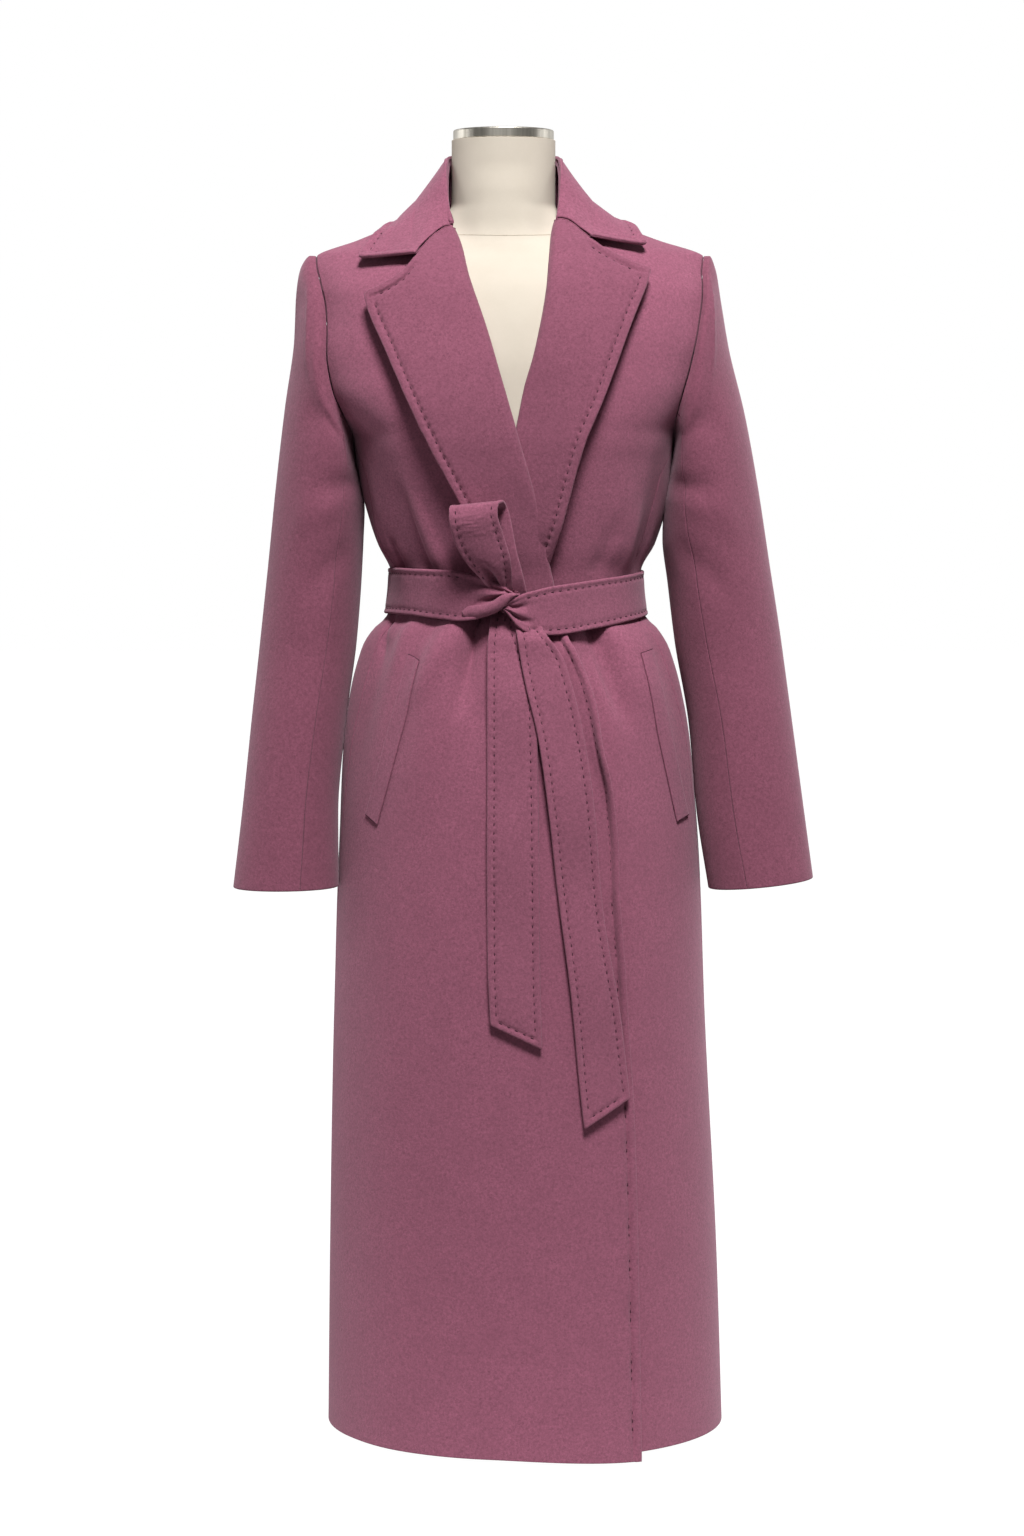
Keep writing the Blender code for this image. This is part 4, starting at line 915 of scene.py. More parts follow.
def lapel_points(side):
    """Places over one lapel: round its roll, then out to its edge, with the share across"""
    lapel, edge, corners = LAPEL[side], INNER_EDGE[side], LAPEL_TOP[side]
    foot, head = lapel["roll_z"][0], lapel["roll_z"][-1]
    t = columns(head - foot + LAPEL_TUCK, LAPEL_GRID["foot"], EDGE_SEWN, LAPEL_GRID["rows"])[0]
    roll_z = lerp(foot - LAPEL_TUCK, head, t)
    roll = np.stack([read(edge, "x", roll_z) + side * ROLL_BACK, roll_z], -1)
    rim = np.stack([read(lapel, "edge_x", roll_z, "roll_z"),
                    read(lapel, "edge_z", roll_z, "roll_z") + np.minimum(roll_z - foot, 0)], -1)
    s = columns(np.linalg.norm(rim - roll, axis=-1), LAPEL_GRID["roll"], EDGE_SEWN, LAPEL_GRID["columns"])
    place = lerp(roll[:, None], rim[:, None], s[..., None])
    bent = np.stack([np.interp(s[-1], corners["share"], corners[name]) for name in "xz"], -1)
    place = place + step_up(t, *LAPEL_TURN_IN)[:, None, None] * (bent - place[-1])[None]
    angle, z = on_coat(place)
    arch = np.sqrt(np.clip(np.sin(math.pi * s), 0, 1))
    stand = lerp(*LAPEL_STAND[side], step_up(z, *LAPEL_STAND_CHANGE)) * step_up(z, *LAPEL_STAND_FROM)
    swell = (LAPEL_SWELL["least"] + LAPEL_SWELL["middle"] * arch) * step_up(z, *LAPEL_OPEN[side])
    lift = PANEL_WALL + LIE + swell + stand * s * s
    if side == RIGHT:
        lift = lift + wrap_lift(angle, z)
    points, normal = moved(plain_body, angle, z, lift)
    turn = np.radians(np.linspace(180, 0, ROLL_STEPS))[None, :-1, None]
    away = unit(points[:, :1] - points[:, 1:2])
    sweep = points[:, :1] + ROLL_ROUND * (np.sin(turn) * away - (1 - np.cos(turn)) * normal[:, :1])
    shares = np.concatenate([np.zeros(sweep.shape[:2]), s], 1)
    return np.concatenate([sweep, points], 1), shares


# Sleeves: rows along them, and width and columns of the top and the under piece
SLEEVE_LENGTH = 0.66
SLEEVE_ROWS = 170
SLEEVE_ACROSS = {False: (0.22, 44), True: (0.10, 22)}
SLEEVE_HEAD = (0.0, 0.02)
# Near the cuff the long seams close by this share
CUFF_CLOSE = 0.8
CUFF_FROM = (0.93, 0.98)


def sleeve_points(side, under):
    """Places over the top or under piece of a sleeve"""
    v = columns(SLEEVE_LENGTH, EDGE_FINE, EDGE_FINE, SLEEVE_ROWS)[0]
    front, back = lerp(*FRONT_SEAM, v), lerp(*BACK_SEAM, v)
    gap = SEAM / 2 / SLEEVE_RADIUS * (1 - CUFF_CLOSE * step_up(v, *CUFF_FROM))
    first, last = (front + gap, back - gap) if under else (back - 2 * math.pi + gap, front - gap)
    width, count = SLEEVE_ACROSS[under]
    turn = lerp(first[:, None], last[:, None], columns(width, EDGE_FINE, EDGE_FINE, count))
    rows = np.repeat(v[:, None], turn.shape[1], 1)
    points = sleeve_face(side, turn, rows)
    points[..., 0] += side * SEAM * (1 - step_up(rows, *SLEEVE_HEAD))
    points = armhole_moved(points, side)
    height = np.zeros(turn.shape)
    for turn0, v0, turn1, v1, width, tall in rows_of(SLEEVE_CREASES):
        run = turned(turn, (turn0 + turn1) / 2) / np.radians((turn1 - turn0) / 2)
        off = (rows - lerp(v0, v1, (run + 1) / 2)) / width
        height += tall * bell(off) * (1 - step_up(np.abs(run), *SLEEVE_CREASE_END))
    return points + grid_normals(points, side) * height[..., None]


# The belt as tied: its upper and lower edge and how far it stands out, by degrees round. It starts at
# its left end, under the knot, and ends with its right end over it.
BELT = table("=turn top bottom out", """
    -4.9 862.7 860 22.5, -4.2 864.1 859 22.8, -3 866.9 855.5 22.6, -1.7 869.8 850.8 22,
    0.75 873.2 842 20.5, 3.85 876.3 836.2 19, 6.7 877.9 834.5 17.2, 13.7 881.6 833.4 14,
    23.3 884.3 835.7 9.6, 32 886.4 838.4 5.2, 41.3 888.3 841 2.4, 56.5 890.5 844.9 0.4, 70 892.2 847 -1.2,
    90 893.5 849 -2.2, 180 894 848 -1, 270 896 850 -2.2, 295 897.5 851.3 0, 310 897.3 851.1 4,
    320.6 897.2 849.8 8, 331.5 897.1 848.1 12, 337.7 895.6 847 14, 344.3 892.8 848.7 17,
    348.4 890.1 851.8 19, 350.3 888.2 853.4 20, 353.2 885.3 856.2 20.5, 356 881.9 862.3 20.5,
    358.3 877.5 868.7 19.5, 360.8 873.1 871.6 18""")
# The belt lies on a ruled face between the coat's sections at these heights
BELT_FACE = (0.8500, 0.8925)
BELT_HOLLOW = 0.0007
# Its upper edge leans out over this stretch
BELT_LEAN = {"most": 0.0070, "low": (288, 310), "high": (330, 347)}
# Its grid: the finer stretches end at these degrees; then the stretches that are sewn
BELT_SPLIT = (30, 325)
BELT_ROWS = (76, 240, 86)
BELT_COLUMNS = 12
BELT_SEWN = {"first": (4.8, 346.5), "last": (3.0, 340.5)}
# Pleats drawn together at the knot: how many degrees each reaches from it, its place across the belt
# (-1 lower edge, 1 upper) there and at the knot, its width and height
PLEAT_COLUMNS = "=reach =far =near =width height"
PLEATS = {
    LEFT: table(PLEAT_COLUMNS, """
        11 0.44 -0.25 0.13 -3.4, 14 -0.45 -0.4 0.13 -3.6, 13 -0.05 -0.3 0.2 2.4, 20 0.8 0.75 0.25 1.2"""),
    RIGHT: table(PLEAT_COLUMNS, """
        21 0.66 0.35 0.12 -3, 21 -0.4 0.5 0.13 -4, 22 0.15 0.42 0.22 3"""),
}
PLEAT_FADE = (0.3, 1.0)
# The turned strip of the knot: middle line and half width
KNOT = table("=s x y z half", """
    0 -49.1 -110.5 853.5 4.4, 0.13 -40.2 -115 856.6 6.8, 0.26 -32.3 -120 857.7 6.6,
    0.38 -25 -123.5 859.3 6.2, 0.5 -18.6 -126.2 862 6.4, 0.61 -13.7 -127.5 864.7 6.4,
    0.74 -7.4 -128.5 870 5.6, 0.86 -1 -127.8 873.2 3.4, 0.94 4.5 -124.5 874.2 1.8, 1 8.5 -119.5 873.5 0.8""")
KNOT_CROWN = 0.0030
KNOT_WIDTH = 0.011
KNOT_ROWS = 70
KNOT_COLUMNS = 8
# The half bow by its two edges, from the knot up behind, over, and down in front
BOW = table("=s left_x left_z left_y right_x right_z right_y", """
    0 -6 866 -108 17.5 864 -109,
    0.15 -20 894 -119 10.8 894 -121.5,
    0.3 -40 923 -123.5 4.5 918 -126,
    0.42 -54 948 -126.5 -1 947 -128.5,
    0.47 -58.5 957 -129.5 -4.5 960 -130.5,
    0.505 -60 961.5 -142.5 -8.5 966.8 -142.5,
    0.54 -61.2 958.5 -152 -12.8 964.5 -152,
    0.6 -61.2 949 -154 -14 955 -154.5,
    0.72 -56 925.5 -145 -7.5 931 -146.5,
    0.84 -43 903 -135 -1 907.5 -138,
    0.93 -32 891 -124 0.4 887 -122,
    1 -20 874 -109 1 866 -109.5""")
# Its pleats on the way into the knot: where each starts, its place across at start and end, width, height
BOW_PLEATS = table("=start =at0 =at1 =width height", """
    0.8 -0.42 0.08 0.2 -6.2, 0.84 -0.75 -0.55 0.2 2, 0.82 0.3 0.55 0.24 2.2""")
BOW_PLEAT_GROW = (0.0, 0.55)
# Its small wrinkles below the fold
BOW_WRINKLES = table("=s =at =half height", """
    0.6 -0.2 0.34 0.4, 0.617 0.02 0.3 0.4, 0.634 -0.24 0.36 0.5, 0.652 -0.05 0.3 0.4, 0.668 -0.22 0.3 0.4,
    0.685 0.05 0.26 0.3""")
WRINKLE_WIDE = 0.007
BOW_CROWN = 0.0034
BOW_CROWN_FROM = (0.55, 0.75)
BOW_MARKS = (0, 0.56, 1)
BOW_ROWS = (70, 110)
BOW_COLUMNS = 10
BOW_SEWN = {"start": (0.54, 0.93), "end": (0.54, 0.95)}
# Sewn seams and bars: how deep they lie, how far they stand off, and their radius
GORGE_SEAM = {"deep": 0.0007, "above": 0.0010, "radius": 0.0014}
ARM_SEAM = {"deep": 0.0018, "out": 0.0009, "radius": 0.0017, "below": 0.002}
BAR_RADIUS = 0.0007
# A first row for each tail, hidden behind the knot
TAIL_TOP = {LEFT: (-0.8600, -0.0185, 0.0050, 0.0006), RIGHT: (-0.8520, 0.0000, 0.0260, 0.0050)}
# How far each tail is drawn in along its outer edge, and the heights where that starts and ends
TAIL_SLIM = {LEFT: 0.0, RIGHT: 0.0062}
TAIL_SLIM_Z = {"low": (0.430, 0.560), "high": (0.790, 0.850)}
# How far its top sinks towards the coat, its waves as height, length and phase, and its air
TAIL_DIP = {LEFT: 0.0030, RIGHT: 0.0080}
TAIL_DIP_Z = (0.820, 0.840)
TAIL_WAVES = {LEFT: (0.0012, 0.150, 0.4), RIGHT: (0.0016, 0.170, 2.0)}
WAVE_FLAT = 0.4
TAIL_CLEAR = 0.0012
TAIL_ROWS = 190
TAIL_COLUMNS_ACROSS = 8
# Pocket welts: length, width and grid
WELT_SIZE = (0.16, 0.014)
WELT_GRID = (50, 3)


def spans(marks, counts):
    """Even places from mark to mark, with the given count for each span"""
    parts = [np.linspace(*pair, count)[1:] for *pair, count in zip(marks, marks[1:], counts)]
    return np.concatenate([marks[:1], *parts])


def pleated(rows, across, near):
    """How far the pleats move the belt out, near degrees from the knot"""
    total = np.zeros(np.broadcast(across, near).shape)
    for reach, far, close, width, tall in rows_of(rows):
        run = np.clip(near / reach, 0, 1)
        at = lerp(close, far, np.sqrt(run))
        total = total + tall * bell((across - at) / width) * (1 - step_up(run, *PLEAT_FADE))
    return total


def belt_face(angle, z):
    """The ruled face under the belt"""
    low, high = (plain_body(angle, np.full(np.shape(z), level)) for level in BELT_FACE)
    return lerp(low, high, ((z - BELT_FACE[0]) / (BELT_FACE[1] - BELT_FACE[0]))[..., None])


def sewn_by(*edges, also=(), where=False):
    """Distance from the nearest of the edges that are sewn, some of them only where a mask says so"""
    def near(far):
        parts = np.min([far[edge] for edge in also], axis=0) if also else NOT_SEWN
        return np.minimum(np.min([far[edge] for edge in edges], axis=0), np.where(where, parts, NOT_SEWN))
    return near


def within(at, stretches):
    """For each edge, which places lie in its stretch"""
    return {edge: (at > low) & (at < high) for edge, (low, high) in stretches.items()}


def arm_seam(node, made, column, side):
    """The sewn seam deep in the gap between a body piece and its sleeve, a cord in dark wool that paints the
    shade of the gap
    """
    points, up = made["outer"][:, column], made["normal"][:, column]
    high = points[:, 2] > ARMPIT_Z - ARM_SEAM["below"]
    middle = points[high] - ARM_SEAM["deep"] * up[high] + np.array([side * ARM_SEAM["out"], 0.0, 0.0])
    name = node + ("_right" if side == RIGHT else "_left") + "_arm_seam"
    add_cords(name, [(middle, up[high])], ARM_SEAM["radius"], SEAM_SHADE_WOOL, node)


def make_fronts():
    """Both fronts and the back"""
    rims = {"start": PANEL_WALL / 2, "end": SEAM_ROUND, "first": PANEL_WALL / 2, "last": SEAM_ROUND}
    made = cloth("front_right", front_points(RIGHT), PANEL_WALL, rims, WOOL, RIGHT, sewn_by("start"))
    low = made["outer"][:, 0, 2] < BELT_Z - BELT_HALF
    above_hem = made["far"]["first"][:, 0] > STITCH_IN
    add_stitches("front_right", made, {"start": low & above_hem})
    arm_seam("front_right", made, -1, RIGHT)
    made = cloth("front_left", front_points(LEFT), PANEL_WALL, rims, WOOL, LEFT)
    arm_seam("front_left", made, -1, LEFT)
    made = cloth("back", back_points(), PANEL_WALL, {**rims, "start": SEAM_ROUND}, WOOL)
    arm_seam("back", made, 0, LEFT)
    arm_seam("back", made, -1, RIGHT)


def make_lapels():
    """Both lapels, with their sewing and the seam to the collar"""
    rims = {"end": TRIM_WALL / 2, "last": TRIM_WALL / 2, "first": SEAM_ROUND}
    for side, node in ((RIGHT, "lapel_right"), (LEFT, "lapel_left")):
        points, share = lapel_points(side)
        points = rounded(points, (("end", "last"),), CORNER_ROUND)
        free = share > LAPEL_FREE
        sewn = sewn_by("end", also=("last",), where=free)
        # The lapels take the darker copy of the wool, painted shade
        made = cloth(node, points, TRIM_WALL, rims, WOOL_LAPEL_SHADE, side, sewn, "folded",
                     (FRONT_CLOTH[side],))
        far = made["far"]
        add_stitches(node, made, {"end": far["last"][:, -1] > STITCH_IN,
                                  "last": free[-1] & (far["end"][-1] > STITCH_IN)})
        joined = ~free[-1]
        up = made["normal"][-1][joined]
        gorge = made["outer"][-1][joined] - GORGE_SEAM["deep"] * up
        gorge[:, 2] += GORGE_SEAM["above"]
        # The cord of the seam to the collar is in the darkest copy of the wool, painted shade in the seam's
        # groove
        add_cords(node + "_gorge_seam", [(gorge, up)], GORGE_SEAM["radius"], WOOL_DEEP_SHADE, node)


def make_sleeves():
    """The top and under piece of both sleeves"""
    rims = {"start": SEAM_ROUND, "end": SEAM_ROUND, "first": SEAM_ROUND, "last": PANEL_WALL / 2}
    for side, name in ((RIGHT, "sleeve_right"), (LEFT, "sleeve_left")):
        for under, part in ((False, "_top"), (True, "_under")):
            # The sleeves take darker copies of the wool as painted shade, darkest on the under pieces in the
            # shade of the body
            look = WOOL_DEEP_SHADE if under else WOOL_SLEEVE_SHADE
            cloth(name + part, sleeve_points(side, under), PANEL_WALL, rims, look, side, None, "hung",
                  (FRONT_CLOTH[side], "back_cloth"))


# The collar's length and depth, its grid, and the share of the depth past which its ends are free
COLLAR_SIZE = (0.56, 0.125)
COLLAR_GRID = (170, 46)
COLLAR_FREE = 0.68
# How far its outer edge and its points stand off, which way, and where across and down that grows
COLLAR_STAND = 0.0095
COLLAR_WAY = (0.0, -1.0, 0.10)
COLLAR_ZONES = (((0.45, 0.92), (0.55, 1.0)), ((0.82, 1.0), (0.50, 0.74)))
# How far the sewn ends of the collar lie from the solid's, from its seam (0) to its outer edge (1)
COLLAR_END = {
    RIGHT: table("=v x z", """
        0 -4.2 0.5, 0.1 -1.2 -1.2, 0.2 0.6 -3, 0.34 1.8 -5.5, 0.42 1.8 -5.8, 0.5 0.2 1, 0.58 1.8 2.4,
        0.66 4.2 1.4, 0.75 3.3 0.5, 0.84 2.1 0.1, 0.92 1.3 -0.5, 1 0 -1.3"""),
    LEFT: table("=v x z", """
        0 0 0, 0.2 0 0.5, 0.34 0.6 1.4, 0.42 0.9 2.6, 0.5 0.3 5, 0.58 -3.6 0.4, 0.66 -6.1 -1.8,
        0.75 -4.4 -1.9, 0.84 -2.3 -1.7, 0.92 -1 -1.9, 1 1.2 -1.8"""),
}
COLLAR_END_FROM = (0.78, 1.0)
# The same for the outer edge on the right, from the middle of the back (0) to the end (1)
COLLAR_RIM = table("=u x z", """
    0 0 0, 0.4 0 0, 0.5 3 0, 0.55 4.4 -1.3, 0.6 3.7 -2.4, 0.65 1.2 -2.8, 0.7 -1.2 -2.3, 0.75 -1 -0.7,
    0.8 2 0.2, 0.85 5.8 -0.4, 0.9 7.3 -0.3, 0.95 4 -0.4, 1 0 0""")
COLLAR_RIM_FROM = (0.66, 0.95)


def make_collar():
    """The collar, moved from the solid's face to its sewn line"""
    u = columns(COLLAR_SIZE[0], EDGE_SEWN, EDGE_SEWN, COLLAR_GRID[0])[0] * 2 - 1
    v = columns(COLLAR_SIZE[1], EDGE_PLAIN, EDGE_SEWN, COLLAR_GRID[1])[0]
    across, down = np.meshgrid(u, v)
    far = np.abs(across)
    zones = [step_up(far, *sideways) * step_up(down, *downward) for sideways, downward in COLLAR_ZONES]
    points = collar_face(across, down) + np.array(COLLAR_WAY) * (COLLAR_STAND * np.maximum(*zones))[..., None]
    ends = step_up(far, *COLLAR_END_FROM)
    rim = np.where(across < 0, step_up(down, *COLLAR_RIM_FROM), 0.0)
    for axis, name in ((0, "x"), (2, "z")):
        for side in (RIGHT, LEFT):
            here = np.where(np.sign(across) == side, ends, 0.0)
            points[..., axis] += here * read(COLLAR_END[side], name, down, "v")
        points[..., axis] += rim * read(COLLAR_RIM, name, far, "u")
    free = down > COLLAR_FREE
    points = rounded(points, (("start", "last"), ("end", "last")), CORNER_ROUND)
    rims = {**dict.fromkeys(("last", "start", "end"), TRIM_WALL / 2), "first": SEAM_ROUND}
    sewn = sewn_by("last", also=("start", "end"), where=free)
    made = cloth("collar", points, TRIM_WALL, rims, WOOL_TRIM, 1, sewn, "folded",
                 ("back_cloth", FRONT_CLOTH[RIGHT], FRONT_CLOTH[LEFT]))
    inside = np.minimum(made["far"]["start"], made["far"]["end"])[-1] > STITCH_IN
    end_rows = free[:, 0] & (made["far"]["last"][:, 0] > STITCH_IN)
    add_stitches("collar", made, {"last": inside, "start": end_rows, "end": end_rows})


def make_welts():
    """Both pocket welts, with a bar of thread at each end"""
    down, over = (columns(size, EDGE_FINE, EDGE_FINE, count)[0] for size, count in zip(WELT_SIZE, WELT_GRID))
    down, over = down[:, None, None], over[None, :, None]
    rims = dict.fromkeys(ALL_EDGES, WELT_ROUND)
    for side, node in ((RIGHT, "pocket_welt_right"), (LEFT, "pocket_welt_left")):
        corners = np.array(WELT[side])
        place = lerp(lerp(corners[0], corners[1], over), lerp(corners[2], corners[3], over), down)
        angle, z = on_coat(place)
        lift = (wrap_lift(angle, z) if side == RIGHT else 0) + np.full(z.shape, LIE + WELT_WALL)
        points = moved(coat, angle, z, lift)[0]
        made = cloth(node, points, WELT_WALL, rims, WOOL_TRIM, -1, None, "laid",
                     (FRONT_CLOTH[side],))
        bars = [(made["outer"][row], made["normal"][row]) for row in (0, -1)]
        add_cords(node + "_bars", bars, BAR_RADIUS, THREAD, node)


def make_belt():
    """The belt round the waist, from one side of the knot to the other"""
    first, last = BELT["turn"][0], BELT["turn"][-1]
    turn = spans((first, *BELT_SPLIT, last), BELT_ROWS)
    w = columns(2 * BELT_HALF, EDGE_SEWN, EDGE_SEWN, BELT_COLUMNS)[0] * 2 - 1
    top, bottom, out = (read(BELT, name, turn, "turn") for name in ("top", "bottom", "out"))
    across, along = np.meshgrid(w, turn, indexing="ij")
    z = lerp(bottom[None], top[None], (across + 1) / 2)
    lift = BELT_WALL + BELT_AIR + out[None] - BELT_HOLLOW * (1 - across ** 2) ** 2
    lift = lift + np.where(along < 180, pleated(PLEATS[LEFT], across, along - first),
                           pleated(PLEATS[RIGHT], across, last - along))
    lift = lift + BELT_LEAN["most"] * between(along, BELT_LEAN) * (across + 1) / 2
    points = moved(belt_face, np.radians(along), z, lift)[0]
    made = cloth("belt_band", points, BELT_WALL, BELT_RIMS, WOOL_BELT, 1,
                 sewn_by("first", "last"), "gathered", (FRONT_CLOTH[RIGHT], FRONT_CLOTH[LEFT], "back_cloth"))
    add_stitches("belt_band", made, within(turn, BELT_SEWN))


def make_knot():
    """The strip turned over the knot"""
    s = np.linspace(0, 1, KNOT_ROWS)
    middle = np.stack([read(KNOT, name, s, "s") for name in "xyz"], -1)
    front = np.array([0.0, -1.0, 0.0])
    side = unit(np.cross(np.gradient(middle, axis=0), front))
    w = columns(KNOT_WIDTH, EDGE_FINE[:-1], EDGE_FINE[:-1], KNOT_COLUMNS)[0] * 2 - 1
    half = read(KNOT, "half", s, "s")
    bulge = KNOT_CROWN * (1 - w ** 2)
    points = middle[:, None] + side[:, None] * np.outer(half, w)[..., None] + front * bulge[None, :, None]
    cloth("belt_knot", points, BELT_WALL, BELT_RIMS, WOOL_BELT, 1, None, "folded",
          ("belt_band_cloth",))


def make_bow():
    """The half bow above the knot"""
    s = spans(BOW_MARKS, BOW_ROWS)
    w = columns(2 * BELT_HALF, EDGE_SEWN, EDGE_SEWN, BOW_COLUMNS)[0]
    left, right = (np.stack([read(BOW, side + axis, s, "s") for axis in "xyz"], -1)
                   for side in ("left_", "right_"))
    points = lerp(left[:, None], right[:, None], w[None, :, None])
    across = (2 * w - 1)[None]
    height = BOW_CROWN * (1 - across ** 2) * step_up(s, *BOW_CROWN_FROM)[:, None]
    for begin, at0, at1, width, tall in rows_of(BOW_PLEATS):
        run = np.clip((s - begin) / (1 - begin), 0, 1)[:, None]
        height = height + tall * bell((across - lerp(at0, at1, run)) / width) * step_up(run, *BOW_PLEAT_GROW)
    for place, at, half, tall in rows_of(BOW_WRINKLES):
        off = ((s - place) / WRINKLE_WIDE)[:, None]
        height = height + tall * bell(off) * bell(((across - at) / half) ** 2)
    points = points + grid_normals(points, -1) * height[..., None]
    rims = dict.fromkeys(("start", "end"), LOOP_WALL / 2)
    made = cloth("belt_loop", points, LOOP_WALL, rims, WOOL_BELT, -1, sewn_by("start", "end"),
                 "folded", ("belt_knot_cloth", "lapel_right_cloth"))
    add_stitches("belt_loop", made, within(s, BOW_SEWN))


def make_tails():
    """Both hanging ends of the belt"""
    edges = ("start", "end", "last")
    for side, node in ((LEFT, "belt_tail_left"), (RIGHT, "belt_tail_right")):
        rows = {name: np.append(first, TAIL[side][name]) for name, first in zip(TAIL[side], TAIL_TOP[side])}
        top, foot = rows["z"][0], rows["z"][-1]
        t = columns(foot - top, EDGE_PLAIN, EDGE_SEWN, TAIL_ROWS)[0]
        z = lerp(top, foot, t)
        left, right, over = (read(rows, column, z) for column in ("left", "right", "over"))
        right = right - TAIL_SLIM[side] * between(-z, TAIL_SLIM_Z)
        s = columns(right - left, EDGE_SEWN, EDGE_SEWN, TAIL_COLUMNS_ACROSS)
        x = lerp(left[:, None], right[:, None], s)
        slant = TAIL_SLANT[side] * step_up(t, *SLANT_SHARE)
        level = -z[:, None] + slant[:, None] * (s - 0.5)
        angle = angle_at(x, level)
        tall, pitch, phase = TAIL_WAVES[side]
        wave = tall * np.sin(2 * math.pi * -z / pitch + phase)[:, None] * (1 - WAVE_FLAT * (2 * s - 1) ** 2)
        over = over - TAIL_DIP[side] * step_up(-z, *TAIL_DIP_Z)
        lift = wrap_lift(angle, level) + BELT_WALL + over[:, None] + TAIL_CLEAR + wave + tall
        points = moved(plain_body, angle, level, lift)[0]
        points = rounded(points, (("start", "last"), ("end", "last")), TAIL_ROUND)
        made = cloth(node, points, BELT_WALL, dict.fromkeys(edges, BELT_WALL / 2), WOOL_BELT, -1,
                     sewn_by(*edges), "hung", ("belt_knot_cloth", FRONT_CLOTH[RIGHT]))
        sides = made["far"]["last"][:, 0] > made["inset"]
        last_row = np.minimum(made["far"]["start"][-1], made["far"]["end"][-1]) > made["inset"]
        add_stitches(node, made, {"start": sides, "end": sides, "last": last_row})


# The dress form: number of sides and rows, its flat arm plates, shoulders and neck
FORM_SIDES = 144
TURNED_SIDES = 96
POLE_SIDES = 48
POLE_ROWS = 12
FORM_SPLIT_Z = 1.19
FORM_ROWS = (110, 90)
FORM_EDGE = 0.0004
FORM_PLATE = 0.1775
# Its foot is drawn in, up to this height
FOOT_IN = 0.045
FOOT_END_Z = 0.680
FOOT_POWER = 3
SHOULDER_Z = (1.2240, 1.2340, 1.2440)
NECK_BLEND = (1.202, 1.260)
NECK_SEAM_Z = (1.2265, 1.2465)
NECK_SEAM_RADIUS = 0.00035
# How far the foot of the neck reaches at the open front, and the distance from its middle where that fades
NECK_FRONT = table("z out", """
    1205 66.8, 1215 63.5, 1225 60.2, 1235 57.4, 1245 55.4, 1260 53.5, 1280 52.3, 1300 52""")
NECK_FRONT_FADE = {"across": (0.018, 0.046), "low": (1.200, 1.220), "high": (1.270, 1.300)}
NECK_FRONT_POWER = 16
# Profiles: the cap's foot, as distance in from its side and height, and its top; the base's foot and top
CAP_FOOT = table("in up", "0.6 0, 0.2 0.2, 0 0.6, 0 0.9")
CAP_LINE = 0.0003
CAP_TOP_SHARES = (0.90, 0.5)
CAP_TIP = 0.002
BASE_FOOT = ((0.0950, 0.0), (0.0960, 0.0010))
BASE_HILL = ((0.0672, 0.0085), (0.0330, 0.0124), (0.0300, 0.0130))
BEND_STEPS = 6


def lathe(node, rings, look):
    """A closed turned or lofted form through level rings, which stands for a solid of the same name"""
    number = np.arange(len(rings) * len(rings[0])).reshape(len(rings), -1)
    piece = mesh_object(node + "_form", np.concatenate(rings), ring_faces(number), look)
    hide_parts(node)


def circle(radius, x, z, count=TURNED_SIDES):
    turn = np.linspace(0, 2 * math.pi, count, endpoint=False)
    return np.stack([x + radius * np.sin(turn), -radius * np.cos(turn), np.full(count, z)], -1)


def bent_edge(radius, z):
    """Profile of a rounded upper edge"""
    bend = np.radians(np.linspace(0, 90, BEND_STEPS))
    return list(zip(radius - EDGE_CUT * (1 - np.cos(bend)), z - EDGE_CUT * (1 - np.sin(bend))))


def torso_ring(z, shrink):
    """Ring inside the coat at one height, cut flat at the arms"""
    angle = np.linspace(0, 2 * math.pi, FORM_SIDES, endpoint=False)
    level = np.full(FORM_SIDES, z)
    ring, _ = moved(plain_body, angle, level, -(PANEL_WALL + read(FORM_AIR, "air", level) + shrink))
    middle = read(BODY, "x", z)
    out = np.abs(ring[:, 0] - middle) + TINY
    flat = (out ** -PLATE_POWER + FORM_PLATE ** -PLATE_POWER) ** (-1 / PLATE_POWER)
    ring[:, 0] = middle + np.sign(ring[:, 0] - middle) * flat
    return ring


def form_ring(z, shrink=0.0):
    """Ring of the dress form at one height, from the torso over the shoulders into the neck"""
    low, most, high = SHOULDER_Z
    eased = 1 - (1 - np.clip((z - low) / (high - low), 0, 1)) ** 2
    ring = torso_ring(z if z < low else lerp(low, most, eased), shrink)
    ring[:, 2] = z
    neck = circle(read(FORM_STALK, "radius", z), NECK_X, z, FORM_SIDES)
    shape = lerp(ring, neck, step_up(z, *NECK_BLEND))
    flare = circle(read(NECK_FRONT, "out", z), NECK_X, z, FORM_SIDES)[:, 1]
    both = np.abs(shape[:, 1]) ** NECK_FRONT_POWER + np.abs(flare) ** NECK_FRONT_POWER
    share = 1 - step_up(np.abs(shape[:, 0] - NECK_X), *NECK_FRONT_FADE["across"])
    front = lerp(shape[:, 1], -both ** (1 / NECK_FRONT_POWER), share * between(z, NECK_FRONT_FADE))
    shape[:, 1] = np.where(flare < 0, front, shape[:, 1])
    return shape


def seam_line():
    """The seam round the foot of the form's neck: a real seam, drawn as a cord whose darker colour paints the
    shade of its groove
    """
    angle = np.linspace(0, 2 * math.pi, FORM_SIDES + 1)
    heights = lerp(*NECK_SEAM_Z, (1 - np.cos(angle)) / 2)
    path = np.array([form_ring(z)[k % FORM_SIDES] for k, z in enumerate(heights)])
    out = np.stack([np.sin(angle), -np.cos(angle), np.zeros(len(angle))], -1)
    add_cords("form_neck_seam", [(path, out)], NECK_SEAM_RADIUS, SEAM_GROOVE_SHADE)


